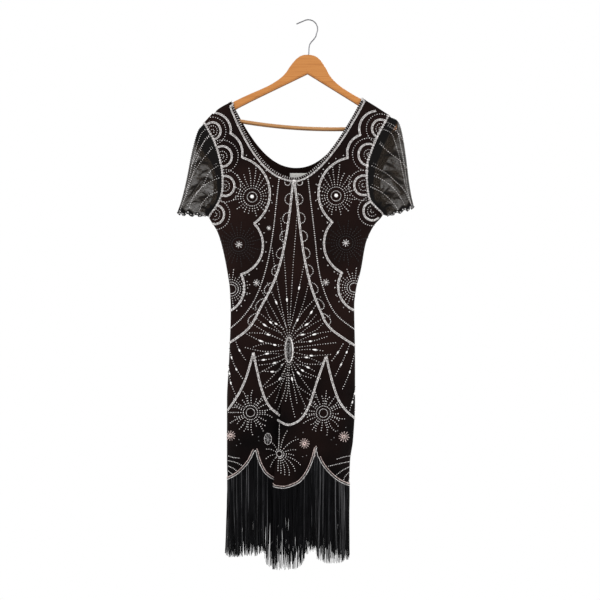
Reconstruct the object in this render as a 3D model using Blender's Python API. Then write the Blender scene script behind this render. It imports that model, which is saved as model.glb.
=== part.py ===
"""A beaded flapper dress on the wooden hanger that holds it up, as closed solids.

Metres, +Z up. The front of the dress faces -Y and the wearer's right side is at -X.
The origin is the inner top of the hook's bend, where a nail or rail carries the hanger.
Each cloth panel is a wall: a grid of outer points, the same grid moved in along its
normals, and a rim round the edge. Grids run from the top edge down to the hem, and
round the body: left to right on the front, right to left on the back.
"""
import math

import bmesh
import bpy
from mathutils import Vector

MM = 0.001

# Cloth and seams
CLOTH = 1.6 * MM
NET = 1.0 * MM
SEAM_GAP = 0.3 * MM
ARMHOLE_GAP = 0.8 * MM
HEM_GAP = 0.9 * MM

# Hanger
TILT = math.radians(3.0)
HANGER_CENTRE = 5 * MM
HALF_SPAN = 222.5 * MM
WOOD_HALF_THICKNESS = 6.5 * MM
WOOD_CORNER = 5.8 * MM
WIRE_RADIUS = 1.5 * MM
HOOK_RADIUS = 22.5 * MM
STEM_FOOT = -97 * MM
BAR_RADIUS = 5 * MM
BAR_LOW = -262 * MM
BAR_RISE = 9 * MM
BAR_RISE_AT = 155 * MM
BAR_HALF_LENGTH = 212 * MM
SOCKET_GAP = 0.3 * MM

# Shoulders and neck
WRAP_RADIUS = 9.4 * MM
CLOTH_LIFT = 2.8 * MM
WRAP_REACH = 150 * MM
NECK_LEFT = -185 * MM
NECK_RIGHT = 130 * MM
NECK_CENTRE = -29 * MM
FRONT_NECK_LOW = -384.5 * MM
BACK_NECK_LOW = -353 * MM
FRONT_NECK_POWERS = (2.2, 1.6)
BACK_NECK_POWERS = (2.15, 2.1)
SHOULDER_SHARE = 0.18
NECK_TURN = 0.045
PULL_REACH = 0.33

# Body
UNDERARM_LEFT = -476 * MM
UNDERARM_RIGHT = -469 * MM
SECTION_POWER = 2.4
MEAN_ASPECT = 0.29

# Hem and fringe
HEM_PEAK = -1029.5 * MM
LEFT_SCALLOP = 82 * MM
SCALLOP_DEPTH = 95 * MM
RIGHT_SCALLOP = 97 * MM
SCALLOP_POWER = 1.6
FRONT_PEAKS = (0.26, 0.693)
BACK_PEAKS = (0.25, 0.75)
FRONT_SCALLOP_LOW = 0.53
BACK_SCALLOP_LOW = 0.5
BAND_WIDTH = 9 * MM
BAND_THICKNESS = 1.1 * MM
BAND_GAP = 0.5 * MM
STRIP_WIDTH = 5 * MM
STRAND_SPACING = 4.6 * MM
STRAND_SHARE = 0.52
STRAND_TAPER = 0.7
FRINGE_AT_PEAK = 240 * MM
FRINGE_AT_LOW = 188 * MM

# Fold that laps over itself down the front of the skirt
FOLD_PLACE = 0.44
FOLD_TOP = -730 * MM
FOLD_FULL = -860 * MM
SKIRT_HALF_ROUND = 330 * MM
FOLD_LEAN = 13 * MM
LEAN_REACH = 0.22
LEAN_TOP = -940 * MM
LEAN_FULL = -1115 * MM

# Rows of the grids
WRAP_ANGLES = (0, 35, 65, 90)
YOKE_ROWS = 7
SKIRT_ROWS = 15


def table(columns, *rows):
    """A short table: one tuple of values for each named column, lengths given in mm."""
    return dict(zip(columns.split(), zip(*rows)))


# Top and under edges of the wooden arch, outwards from its middle
WOOD_TOP = table(
    "out height",
    (0, -83), (13, -84.5), (24, -90), (41, -110), (55, -133), (72, -149),
    (96, -165), (136, -185), (180, -209), (214, -231), (222.5, -243))
WOOD_UNDER = table(
    "out height",
    (0, -131), (50, -158.5), (100, -186), (150, -214), (180, -232.5), (205, -250.5),
    (217, -257), (222.5, -252))

# Shoulder line past the hanger's end at -X
LEFT_DROOP = table("x height", (-262, -257), (-253, -248), (-241, -235), (-230, -223))

# Side edges of the panels, from the armholes' tops down to the hem. The section column
# is the side of the whole body's oval, which the armholes cut into.
LEFT_EDGE = table(
    "height front back section",
    (-251, -253, -253, -262), (-266, -245, -256, -262), (-292, -231, -248, -259),
    (-319, -221, -235, -256), (-345, -214, -226, -254), (-374, -209, -221, -251),
    (-403, -208, -223, -248), (-428, -212, -231, -245), (-452, -224, -236, -243),
    (-476, -240, -240, -240), (-495, -230, -230, -230), (-510, -221, -221, -221),
    (-539, -211, -211, -211), (-604, -197, -197, -197), (-653, -190, -190, -190),
    (-701, -188, -188, -188), (-822, -192, -192, -192), (-919, -197, -197, -197),
    (-1064, -197, -197, -197), (-1140, -194, -194, -194))
RIGHT_EDGE = table(
    "height front back section",
    (-233, 196, 196, 212), (-253, 185, 200, 214), (-285, 168, 195, 212),
    (-319, 154, 179, 207), (-350, 144, 167, 202), (-382, 142, 165, 196),
    (-411, 144, 169, 190), (-435, 149, 173, 186), (-452, 163, 177, 183),
    (-469, 180, 180, 180), (-495, 160, 160, 160), (-510, 151, 151, 151),
    (-539, 139, 139, 139), (-604, 127, 127, 127), (-653, 115, 115, 115),
    (-690, 111, 111, 111), (-822, 113, 113, 113), (-919, 113, 113, 113),
    (-1016, 108, 108, 108), (-1064, 101, 101, 101), (-1140, 98, 98, 98))
DEPTH = table(
    "height half_depth",
    (-230, 20), (-300, 28), (-387, 36), (-476, 42), (-568, 42), (-677, 40),
    (-800, 44), (-920, 48), (-1020, 48), (-1140, 46))

# Lapped fold across the panel: place along the cloth, then where that point lies
LAP = table(
    "along across out",
    (-30, -30, 0), (-20, -16, -3), (-11, -2, -6.5), (-3, 6, -7.5), (3, 5, -3),
    (9, -3, 1.5), (15, -2, 5), (24, 10, 5.5), (36, 27, 3), (50, 50, 0))

# Soft upright folds of the skirt: place round the panel, half width, how far out
FRONT_WAVES = table("place half_width out", (0.13, 0.07, 4), (0.68, 0.06, -4), (0.86, 0.06, 4))
BACK_WAVES = table(
    "place half_width out", (0.16, 0.07, 5), (0.36, 0.07, -5), (0.63, 0.08, 5), (0.85, 0.06, -3))
WAVE_TOP = -700 * MM
WAVE_FULL = -1000 * MM

# Outer edge of each sleeve, by thousandths of its length, and its hem's oval
LEFT_SLEEVE_EDGE = table(
    "along x height",
    (0, -254, -252), (60, -265, -264), (160, -273, -286), (360, -283, -327),
    (600, -292, -375), (800, -302, -420), (1000, -315, -465))
RIGHT_SLEEVE_EDGE = table(
    "along x height",
    (0, 197, -234), (70, 213, -241), (130, 221, -253), (270, 228, -283),
    (500, 236, -335), (750, 243, -394), (1000, 253, -451))
LEFT_CUFF = {"middle": (-282, -470), "half_width": 33, "half_depth": 25, "lean": 3}
RIGHT_CUFF = {"middle": (222, -463), "half_width": 31, "half_depth": 25, "lean": 10}
CUFF_WAVES = 5
CUFF_WAVE = 4 * MM
CAP_SPREAD = 0.6

# Label inside the back neck
LABEL_WIDTH = 44 * MM
LABEL_HEIGHT = 14 * MM
LABEL_THICKNESS = 0.8 * MM
LABEL_GAP = 0.6 * MM
LABEL_COLUMNS = 4
LABEL_MIDDLE = (-23 * MM, -373 * MM)

FRONT = -1
BACK = 1


def read_row(columns, key, name, place):
    """One named column at a place along the key column, on a curve with no overshoot."""
    keys = [value * MM for value in columns[key]]
    values = columns[name]
    if keys[0] > keys[-1]:
        keys = [-value for value in keys]
        place = -place
    if place <= keys[0]:
        return values[0] * MM
    if place >= keys[-1]:
        return values[-1] * MM
    last = len(keys) - 1
    rises = [(values[i + 1] - values[i]) / (keys[i + 1] - keys[i]) for i in range(last)]

    def slope(i):
        if i == 0:
            return rises[0]
        if i == last:
            return rises[-1]
        if rises[i - 1] * rises[i] <= 0:
            return 0.0
        return 2 * rises[i - 1] * rises[i] / (rises[i - 1] + rises[i])

    i = max(index for index in range(last) if keys[index] <= place)
    step = keys[i + 1] - keys[i]
    t = (place - keys[i]) / step
    start = values[i] * (1 + 2 * t) * (1 - t) ** 2 + slope(i) * step * t * (1 - t) ** 2
    end = values[i + 1] * t * t * (3 - 2 * t) + slope(i + 1) * step * t * t * (t - 1)
    return (start + end) * MM


def smooth(value):
    """0 to 1 with a soft start and end."""
    t = min(1.0, max(0.0, value))
    return t * t * (3 - 2 * t)


def mix(first, second, share):
    return first + (second - first) * share


def tilted(x, height):
    """A point of the hanger's own upright frame, turned with the hanger."""
    return (x * math.cos(TILT) + height * math.sin(TILT),
            -x * math.sin(TILT) + height * math.cos(TILT))


def wood_top_line():
    """The arch's top edge in the dress's frame, from left to right."""
    outs = [HALF_SPAN * i / 60 for i in range(61)]
    heights = [read_row(WOOD_TOP, "out", "height", out) for out in outs]
    left = [tilted(HANGER_CENTRE - out, z) for out, z in zip(outs, heights)]
    right = [tilted(HANGER_CENTRE + out, z) for out, z in zip(outs, heights)]
    return left[::-1] + right[1:]


WOOD_LINE = wood_top_line()


def on_line(points, x):
    """Height of a line of points at x."""
    for (x0, z0), (x1, z1) in zip(points, points[1:]):
        if x <= x1:
            return mix(z0, z1, (x - x0) / (x1 - x0))
    return points[-1][1]


def shoulder_height(x):
    """Top of the cloth over the hanger, bridged straight across the neck opening."""
    if x < LEFT_DROOP["x"][-1] * MM:
        return read_row(LEFT_DROOP, "x", "height", x)
    if NECK_LEFT < x < NECK_RIGHT:
        left = on_line(WOOD_LINE, NECK_LEFT)
        right = on_line(WOOD_LINE, NECK_RIGHT)
        return mix(left, right, (x - NECK_LEFT) / (NECK_RIGHT - NECK_LEFT)) + CLOTH_LIFT
    return on_line(WOOD_LINE, x) + CLOTH_LIFT


def neck_height(side, x):
    """Height of the neckline at x, a power curve down from each shoulder."""
    low = FRONT_NECK_LOW if side == FRONT else BACK_NECK_LOW
    powers = FRONT_NECK_POWERS if side == FRONT else BACK_NECK_POWERS
    end = NECK_LEFT if x < NECK_CENTRE else NECK_RIGHT
    power = powers[0] if x < NECK_CENTRE else powers[1]
    share = abs((x - NECK_CENTRE) / (end - NECK_CENTRE))
    return low + (shoulder_height(end) - low) * share ** power


def oval_places(count=400):
    """Even steps round half of the body's oval, as x from -1 to 1."""
    angles = [math.pi * i / count for i in range(count + 1)]
    points = []
    for angle in angles:
        c = -math.cos(angle)
        x = math.copysign(abs(c) ** (2 / SECTION_POWER), c)
        y = abs(math.sin(angle)) ** (2 / SECTION_POWER) * MEAN_ASPECT
        points.append((x, y))
    lengths = [0.0]
    for first, second in zip(points, points[1:]):
        lengths.append(lengths[-1] + math.dist(first, second))
    return [length / lengths[-1] for length in lengths], [point[0] for point in points]


OVAL_SHARES, OVAL_XS = oval_places()


def oval_x(share):
    """x, from -1 to 1, at a share of the way round half of the oval."""
    for i in range(len(OVAL_SHARES) - 1):
        if share <= OVAL_SHARES[i + 1]:
            span = OVAL_SHARES[i + 1] - OVAL_SHARES[i]
            return mix(OVAL_XS[i], OVAL_XS[i + 1], (share - OVAL_SHARES[i]) / span)
    return 1.0


def panel_column(side):
    return "front" if side == FRONT else "back"


def edges(side, height):
    """Left and right edge of a panel at a height."""
    name = panel_column(side)
    return (read_row(LEFT_EDGE, "height", name, height),
            read_row(RIGHT_EDGE, "height", name, height))


def cloth_depth(x, height):
    """How far the cloth stands from the middle plane."""
    left = read_row(LEFT_EDGE, "height", "section", height)
    right = read_row(RIGHT_EDGE, "height", "section", height)
    across = min(1.0, abs(x - (left + right) / 2) / ((right - left) / 2))
    oval = (1 - across ** SECTION_POWER) ** (1 / SECTION_POWER)
    full = read_row(DEPTH, "height", "half_depth", height) * oval
    below = max(0.0, shoulder_height(x) - height)
    turned = 1 - min(below, WRAP_RADIUS) / WRAP_RADIUS
    wrap = WRAP_RADIUS * math.sqrt(max(0.0, 1 - turned * turned))
    return mix(wrap, full, smooth(below / WRAP_REACH))


def waves_out(side, share, height):
    """Soft upright folds of the skirt."""
    waves = FRONT_WAVES if side == FRONT else BACK_WAVES
    grown = smooth((WAVE_TOP - height) / (WAVE_TOP - WAVE_FULL))
    out = 0.0
    for place, half_width, size in zip(waves["place"], waves["half_width"], waves["out"]):
        away = min(1.0, abs(share - place) / half_width)
        out += size * MM * (1 + math.cos(math.pi * away)) / 2
    return out * grown


def lap_shift(share, height):
    """Sideways and outward move of the front's lapped fold."""
    along = (share - FOLD_PLACE) * SKIRT_HALF_ROUND
    if not LAP["along"][0] * MM < along < LAP["along"][-1] * MM:
        return 0.0, 0.0
    grown = smooth((FOLD_TOP - height) / (FOLD_TOP - FOLD_FULL))
    across = read_row(LAP, "along", "across", along) - along
    return across * grown, read_row(LAP, "along", "out", along) * grown


def fold_lean(share, height):
    """Sideways lean of the lapped fold and the cloth beside it, towards the hem."""
    away = min(1.0, abs(share - FOLD_PLACE) / LEAN_REACH)
    grown = min(1.0, max(0.0, (LEAN_TOP - height) / (LEAN_TOP - LEAN_FULL)))
    return -FOLD_LEAN * (1 + math.cos(math.pi * away)) / 2 * grown


def hem_height(side, share):
    """The scalloped hem: round below, pointed between two scallops."""
    first, second = FRONT_PEAKS if side == FRONT else BACK_PEAKS
    low = FRONT_SCALLOP_LOW if side == FRONT else BACK_SCALLOP_LOW
    depth = SCALLOP_DEPTH
    if share < first:
        away = share / first
        depth = LEFT_SCALLOP
    elif share > second:
        away = (1 - share) / (1 - second)
        depth = RIGHT_SCALLOP
    elif share < low:
        away = (low - share) / (low - first)
    else:
        away = (share - low) / (second - low)
    drop = max(0.0, 1 - away ** SCALLOP_POWER) ** (1 / SCALLOP_POWER)
    return HEM_PEAK - depth * drop


def cloth_point(side, share, x, height):
    """A point of the outer cloth at x and a height."""
    out = SEAM_GAP / 2 + cloth_depth(x, height)
    if 0 < share < 1:
        out += waves_out(side, share, height)
        if side == FRONT:
            across, lap_out = lap_shift(share, height)
            x += across + fold_lean(share, height)
            out += lap_out
    return Vector((x, side * out, height))


def column_shares(anchors, widest):
    """Places round a panel: every anchor, with even columns between them."""
    shares = [anchors[0]]
    for first, second in zip(anchors, anchors[1:]):
        steps = max(1, math.ceil((second - first) / widest - 0.01))
        shares += [mix(first, second, (i + 1) / steps) for i in range(steps)]
    return shares


def neck_turns():
    """Places of the columns where the neckline turns over the wood."""
    return [SHOULDER_SHARE + NECK_TURN * angle / 90 for angle in WRAP_ANGLES]


def turned_round(shares):
    return [1 - share for share in reversed(shares)]


def front_shares():
    laps = [FOLD_PLACE + along * MM / SKIRT_HALF_ROUND for along in LAP["along"]]
    anchors = [0, 0.012, 0.03, 0.06, 0.1, 0.14, *neck_turns(), FRONT_PEAKS[0], *laps,
               FRONT_PEAKS[1], *turned_round(neck_turns()), 0.86, 0.9, 0.94, 0.97, 0.988, 1]
    return column_shares(anchors, 0.045)


def back_shares():
    anchors = [0, 0.012, 0.03, 0.06, 0.1, 0.14, *neck_turns(), BACK_PEAKS[0], 0.5,
               BACK_PEAKS[1], *turned_round(neck_turns()), 0.86, 0.9, 0.94, 0.97, 0.988, 1]
    return column_shares(anchors, 0.05)


def top_point(side, share):
    """x and height of a panel's top edge: shoulder, neckline, shoulder."""
    name = panel_column(side)
    left_end = LEFT_EDGE[name][0] * MM
    right_end = RIGHT_EDGE[name][0] * MM
    if share <= SHOULDER_SHARE:
        x = mix(left_end, NECK_LEFT, share / SHOULDER_SHARE)
        return x, shoulder_height(x)
    if share >= 1 - SHOULDER_SHARE:
        x = mix(right_end, NECK_RIGHT, (1 - share) / SHOULDER_SHARE)
        return x, shoulder_height(x)
    inset = SHOULDER_SHARE + NECK_TURN
    if share < inset:
        return neck_turn_point(side, NECK_LEFT, (share - SHOULDER_SHARE) / NECK_TURN)
    if share > 1 - inset:
        return neck_turn_point(side, NECK_RIGHT, (1 - SHOULDER_SHARE - share) / NECK_TURN)
    across = (share - inset) / (1 - 2 * inset)
    spread = mix(across, (1 - math.cos(math.pi * across)) / 2, 0.45)
    start = neck_turn_point(side, NECK_LEFT, 1)[0]
    end = neck_turn_point(side, NECK_RIGHT, 1)[0]
    x = mix(start, end, spread)
    return x, neck_height(side, x)


def neck_turn_point(side, end, turn):
    """A point of the neckline where it turns over the wood, by a share of the turn."""
    drop = WRAP_RADIUS * (1 - math.cos(math.radians(90) * turn))
    near = end
    far = mix(end, NECK_CENTRE, 0.3)
    for _ in range(30):
        x = (near + far) / 2
        if shoulder_height(x) - neck_height(side, x) < drop:
            near = x
        else:
            far = x
    return near, neck_height(side, near)


def armhole_pull(side, share, height):
    """How far an armhole's curve draws a column in from its straight way down."""
    name = panel_column(side)
    near_left = share < 0.5
    columns = LEFT_EDGE if near_left else RIGHT_EDGE
    underarm = UNDERARM_LEFT if near_left else UNDERARM_RIGHT
    weight = smooth(1 - min(share, 1 - share) / PULL_REACH)
    if weight <= 0 or height < underarm:
        return 0.0
    top = columns["height"][0] * MM
    down = max(0.0, (top - height) / (top - underarm))
    start = columns[name][0] * MM
    end = read_row(columns, "height", name, underarm)
    return (read_row(columns, "height", name, height) - mix(start, end, down)) * weight


def panel_grid(side, shares):
    """Rows of outer points of one panel, from its top edge to its hem."""
    columns = []
    for share in shares:
        top_x, top = top_point(side, share)
        chest = mix(UNDERARM_LEFT, UNDERARM_RIGHT, share)
        hem = hem_height(side, share)
        chest_left, chest_right = edges(side, chest)
        low_share = (oval_x(share) + 1) / 2
        chest_x = mix(chest_left, chest_right, low_share)
        steep = neck_steepness(side, share)
        heights = [top - WRAP_RADIUS * steep * (1 - math.cos(math.radians(a)))
                   for a in WRAP_ANGLES]
        yoke = heights[-1]
        for i in range(YOKE_ROWS):
            down = (i + 1) / YOKE_ROWS
            heights.append(mix(yoke, chest, mix(down, math.sin(down * math.pi / 2), 0.5)))
        band = hem + BAND_WIDTH * mix(1, 1.8, hem_slope(side, share))
        heights += [mix(chest, band, (i + 1) / SKIRT_ROWS) for i in range(SKIRT_ROWS)]
        heights.append(hem)
        column = []
        for height in heights:
            if height > chest:
                x = mix(top_x, chest_x, (top - height) / (top - chest))
                x += armhole_pull(side, share, height)
            else:
                x = mix(*edges(side, height), low_share)
            column.append(cloth_point(side, share, x, height))
        columns.append(column)
    return [list(row) for row in zip(*columns)]


def neck_steepness(side, share):
    """How much longer an upright line across a neck band of even width is, up to 3."""
    inset = SHOULDER_SHARE + NECK_TURN
    past = min(share, 1 - share) - inset
    if past <= 0:
        return 1.0
    step = 0.005
    x0, z0 = top_point(side, share - step)
    x1, z1 = top_point(side, share + step)
    slant = math.hypot(x1 - x0, z1 - z0) / (x1 - x0)
    return mix(1, min(3.0, slant), smooth(past / 0.05))


def hem_slope(side, share):
    """0 where the hem runs level, near 1 where it climbs to a point."""
    first, second = FRONT_PEAKS if side == FRONT else BACK_PEAKS
    nearest = min(abs(share - first), abs(share - second))
    return 1 - smooth(nearest / 0.16)


UNDERARM_ROW = len(WRAP_ANGLES) - 1 + YOKE_ROWS


def grid_normals(grid, facing, closed=False):
    """Outward direction at each point of a grid."""
    last_row = len(grid) - 1
    last = len(grid[0]) - 1
    normals = []
    for r, row in enumerate(grid):
        line = []
        for c in range(len(row)):
            before = row[c - 1] if c > 0 or closed else row[c]
            after = row[(c + 1) % len(row)] if c < last or closed else row[c]
            above = grid[max(0, r - 1)][c]
            below = grid[min(last_row, r + 1)][c]
            line.append((facing * (below - above).cross(after - before)).normalized())
        normals.append(line)
    return normals


def square_seams(normals, shares):
    """Turn the wall square to the side seams and to the shoulder seams."""
    for r, line in enumerate(normals):
        for c, share in enumerate(shares):
            on_shoulder = r == 0 and not SHOULDER_SHARE < share < 1 - SHOULDER_SHARE
            on_side = r >= UNDERARM_ROW and share in (0, 1)
            if on_shoulder or on_side:
                line[c].y = 0
                line[c].normalize()


def moved(grid, normals, distance):
    """A grid moved along its normals."""
    return [[point + normal * distance for point, normal in zip(row, line)]
            for row, line in zip(grid, normals)]


def material(name, colour, roughness, metallic=0.0):
    finish = bpy.data.materials.new(name)
    finish.use_nodes = True
    shader = finish.node_tree.nodes["Principled BSDF"]
    shader.inputs["Base Color"].default_value = (*colour, 1)
    shader.inputs["Roughness"].default_value = roughness
    shader.inputs["Metallic"].default_value = metallic
    return finish


def solid(name, points, faces, finish):
    """One closed object, with its faces turned out."""
    mesh = bpy.data.meshes.new(name)
    mesh.from_pydata([tuple(point) for point in points], [], faces)
    form = bmesh.new()
    form.from_mesh(mesh)
    bmesh.ops.recalc_face_normals(form, faces=form.faces)
    if form.calc_volume(signed=True) < 0:
        bmesh.ops.reverse_faces(form, faces=form.faces)
    form.to_mesh(mesh)
    form.free()
    mesh.materials.append(finish)
    thing = bpy.data.objects.new(name, mesh)
    bpy.context.scene.collection.objects.link(thing)
    mesh.shade_smooth()
    mesh.set_sharp_from_angle(angle=math.radians(35))
    return thing


def wall(name, outer, inner, finish, closed=False):
    """The closed wall between two grids, open or joined round."""
    rows = len(outer)
    count = len(outer[0])
    points = [point for row in outer for point in row]
    points += [point for row in inner for point in row]
    back = rows * count

    def at(r, c):
        return r * count + c % count

    faces = []
    spans = count if closed else count - 1
    for r in range(rows - 1):
        for c in range(spans):
            a, b, d, e = at(r, c), at(r, c + 1), at(r + 1, c + 1), at(r + 1, c)
            for face in ((a, b, d), (a, d, e)):
                faces.append(face)
                faces.append(tuple(back + i for i in reversed(face)))
    for c in range(spans):
        top = (at(0, c), at(0, c + 1))
        foot = (at(rows - 1, c), at(rows - 1, c + 1))
        faces.append((top[1], top[0], back + top[0], back + top[1]))
        faces.append((foot[0], foot[1], back + foot[1], back + foot[0]))
    if not closed:
        for r in range(rows - 1):
            left = (at(r, 0), at(r + 1, 0))
            right = (at(r, count - 1), at(r + 1, count - 1))
            faces.append((left[0], left[1], back + left[1], back + left[0]))
            faces.append((right[1], right[0], back + right[0], back + right[1]))
    return solid(name, points, faces, finish)


def ring_solid(name, rings, finish):
    """A closed solid through rings of the same number of points, capped at both ends."""
    count = len(rings[0])
    points = [point for ring in rings for point in ring]
    faces = [tuple(range(count)), tuple(range(len(points) - count, len(points)))]
    for r in range(len(rings) - 1):
        for c in range(count):
            nxt = (c + 1) % count
            faces.append((r * count + c, r * count + nxt,
                          (r + 1) * count + nxt, (r + 1) * count + c))
    return solid(name, points, faces, finish)


def tube(name, path, radius, sides, finish):
    """A round bar along a path of (x, z) points in the hanger's plane."""
    rings = []
    for i, (x, z) in enumerate(path):
        before = path[max(0, i - 1)]
        after = path[min(len(path) - 1, i + 1)]
        run = Vector((after[0] - before[0], 0, after[1] - before[1])).normalized()
        across = Vector((-run.z, 0, run.x))
        ring = []
        for s in range(sides):
            angle = 2 * math.pi * s / sides
            flat = across * math.cos(angle) + Vector((0, math.sin(angle), 0))
            ring.append(Vector((x, 0, z)) + flat * radius)
        rings.append(ring)
    return ring_solid(name, rings, finish)


def hook_path():
    """Stem, round bend and tip of the wire hook, in the hanger's own frame."""
    stem_x = HANGER_CENTRE
    path = [(stem_x, STEM_FOOT), (stem_x, -80 * MM), (stem_x, -66 * MM), (6 * MM, -59 * MM),
            (9.5 * MM, -52.5 * MM), (15.5 * MM, -45.5 * MM), (20 * MM, -38 * MM)]
    middle_x = 1 * MM
    middle_z = WIRE_RADIUS - HOOK_RADIUS
    for degrees in range(-25, 126, 15):
        angle = math.radians(degrees)
        path.append((middle_x + HOOK_RADIUS * math.cos(angle),
                     middle_z + HOOK_RADIUS * math.sin(angle)))
    path += [(-20 * MM, -6.4 * MM), (-28.5 * MM, -10.6 * MM)]
    return path


def bar_path(reach, steps):
    """The cross bar's middle line, bowed down between the arms."""
    path = []
    for i in range(steps + 1):
        out = mix(-reach, reach, i / steps)
        path.append((HANGER_CENTRE + out, BAR_LOW + BAR_RISE * (out / BAR_RISE_AT) ** 2))
    return path


def make_hanger(wood, bar_wood, steel):
    """Arched body with sockets for the bar and the hook, the bar and the hook."""
    outs = (-222.5, -220, -214, -205, -192, -180, -160, -136, -114, -95, -82, -69.5, -60,
            -51.5, -44, -37.5, -30, -21, -12, 0)
    stations = [out * MM for out in outs] + [-out * MM for out in outs[-2::-1]]
    rings = []
    for out in stations:
        top = read_row(WOOD_TOP, "out", "height", abs(out))
        under = read_row(WOOD_UNDER, "out", "height", abs(out))
        near_end = smooth((HALF_SPAN - abs(out)) / (12 * MM))
        half = WOOD_HALF_THICKNESS * mix(0.62, 1, near_end)
        corner = min(WOOD_CORNER, half * 0.89, (top - under) * 0.42)
        ring = []
        for quarter, side, end in ((0, 1, top), (1, -1, top), (2, -1, under), (3, 1, under)):
            inward = -1 if end == top else 1
            middle = Vector((HANGER_CENTRE + out, side * (half - corner), end + inward * corner))
            for step in range(3):
                angle = math.radians(90 * quarter + 45 * step)
                ring.append(middle + corner * Vector((0, math.cos(angle), math.sin(angle))))
        rings.append(ring)
    body = ring_solid("hanger_arch", rings, wood)
    bar = tube("hanger_bar", bar_path(BAR_HALF_LENGTH, 18), BAR_RADIUS, 10, bar_wood)
    hook = tube("hanger_hook", hook_path(), WIRE_RADIUS, 8, steel)
    bar_socket = tube("bar_socket_cutter", bar_path(BAR_HALF_LENGTH + SOCKET_GAP, 18),
                      BAR_RADIUS + SOCKET_GAP * 1.5, 10, bar_wood)
    stem = [(HANGER_CENTRE, STEM_FOOT - SOCKET_GAP), (HANGER_CENTRE, -70 * MM)]
    stem_socket = tube("stem_socket_cutter", stem, WIRE_RADIUS + SOCKET_GAP, 8, steel)
    for cutter in (bar_socket, stem_socket):
        cutter.hide_render = True
        cutter.display_type = "WIRE"
        cut = body.modifiers.new(cutter.name, "BOOLEAN")
        cut.operation = "DIFFERENCE"
        cut.object = cutter
    for piece in (body, bar, hook, bar_socket, stem_socket):
        piece.rotation_euler = (0, TILT, 0)


def armhole_loop(front, back, side_column, at_right):
    """Outer points, normals and outward directions round an armhole, from the underarm
    up the front, over the shoulder and down the back."""
    front_grid, front_normals = front
    back_grid, back_normals = back
    front_column = side_column
    inner_front = front_column + (-1 if at_right else 1)
    back_column = 0 if at_right else len(back_grid[0]) - 1
    inner_back = back_column + (1 if at_right else -1)

    def entry(grid, normals, column, inner, r):
        out = grid[r][column] - grid[r][inner]
        along = grid[min(r + 1, UNDERARM_ROW)][column] - grid[max(r - 1, 0)][column]
        along.normalize()
        out -= along * out.dot(along)
        return grid[r][column], normals[r][column], out.normalized()

    def between(first, second):
        return tuple((a + b) / 2 for a, b in zip(first, second))

    rows = list(range(UNDERARM_ROW + 1))
    fronts = [entry(front_grid, front_normals, front_column, inner_front, r) for r in rows]
    backs = [entry(back_grid, back_normals, back_column, inner_back, r) for r in rows]
    loop = [between(fronts[-1], backs[-1])]
    loop += fronts[-2:0:-1]
    loop.append(between(fronts[0], backs[0]))
    loop += backs[1:-1]
    return loop


def sleeve(name, loop, edge, cuff, at_right, finish):
    """A wide open tube from the armhole to a waved cuff."""
    top = len(loop) // 2
    starts = [point + out * ARMHOLE_GAP for point, normal, out in loop]
    lengths = [0.0]
    for first, second in zip(starts, starts[1:] + starts[:1]):
        lengths.append(lengths[-1] + (second - first).length)
    front_length = lengths[top]
    back_length = lengths[-1] - front_length
    middle_x, middle_z = (value * MM for value in cuff["middle"])
    sign = 1 if at_right else -1
    grid = [starts]
    for along in sleeve_rows(edge):
        place = along * MM
        share = along / 1000
        row = []
        for c, start in enumerate(starts):
            if c <= top:
                from_top = (front_length - lengths[c]) / front_length
                side = FRONT
            else:
                from_top = (lengths[c] - front_length) / back_length
                side = BACK
            angle = math.pi * spread_ends(from_top)
            weight = (1 + math.cos(angle)) / 2
            wave = math.cos(CUFF_WAVES * 2 * angle + side) * CUFF_WAVE * math.sqrt(weight)
            end = Vector((middle_x + sign * (cuff["half_width"] * MM + wave * 0.5) * math.cos(angle),
                          side * (cuff["half_depth"] * MM + wave * 0.5) * math.sin(angle),
                          middle_z + cuff["lean"] * MM * math.cos(angle) + wave))
            straight = start.lerp(end, share)
            top_start = starts[top]
            top_end = Vector((edge["x"][-1] * MM, 0, edge["height"][-1] * MM))
            line = top_start.lerp(top_end, share)
            shift = Vector((read_row(edge, "along", "x", place) - line.x, 0,
                            read_row(edge, "along", "height", place) - line.z))
            row.append(straight + shift * weight * (1 - 0.6 * share * (1 - weight)))
        grid.append(row)
    normals = grid_normals(grid, sign, closed=True)
    normals[0] = [normal for point, normal, out in loop]
    return wall(name, grid, moved(grid, normals, -NET), finish, closed=True)


def spread_ends(share):
    """A share from 0 to 1 that leaves both of its ends fast."""
    if share <= 0.5:
        return 0.5 * (2 * share) ** CAP_SPREAD
    return 1 - 0.5 * (2 * (1 - share)) ** CAP_SPREAD


def sleeve_rows(edge):
    """Places down a sleeve: those of its edge's table, and one between the far ones."""
    rows = []
    for first, second in zip(edge["along"], edge["along"][1:]):
        if second - first > 150:
            rows.append((first + second) / 2)
        rows.append(second)
    return rows


def hem_steepness(hem):
    """At each hem point, how much longer an upright line across a band of even width is."""
    slants = []
    for first, second in zip(hem, hem[1:]):
        run = Vector((second.x - first.x, second.y - first.y, 0)).length
        slants.append(min(3.5, (second - first).length / run))
    return [max(pair) for pair in zip([slants[0], *slants], [*slants, slants[-1]])]


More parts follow.
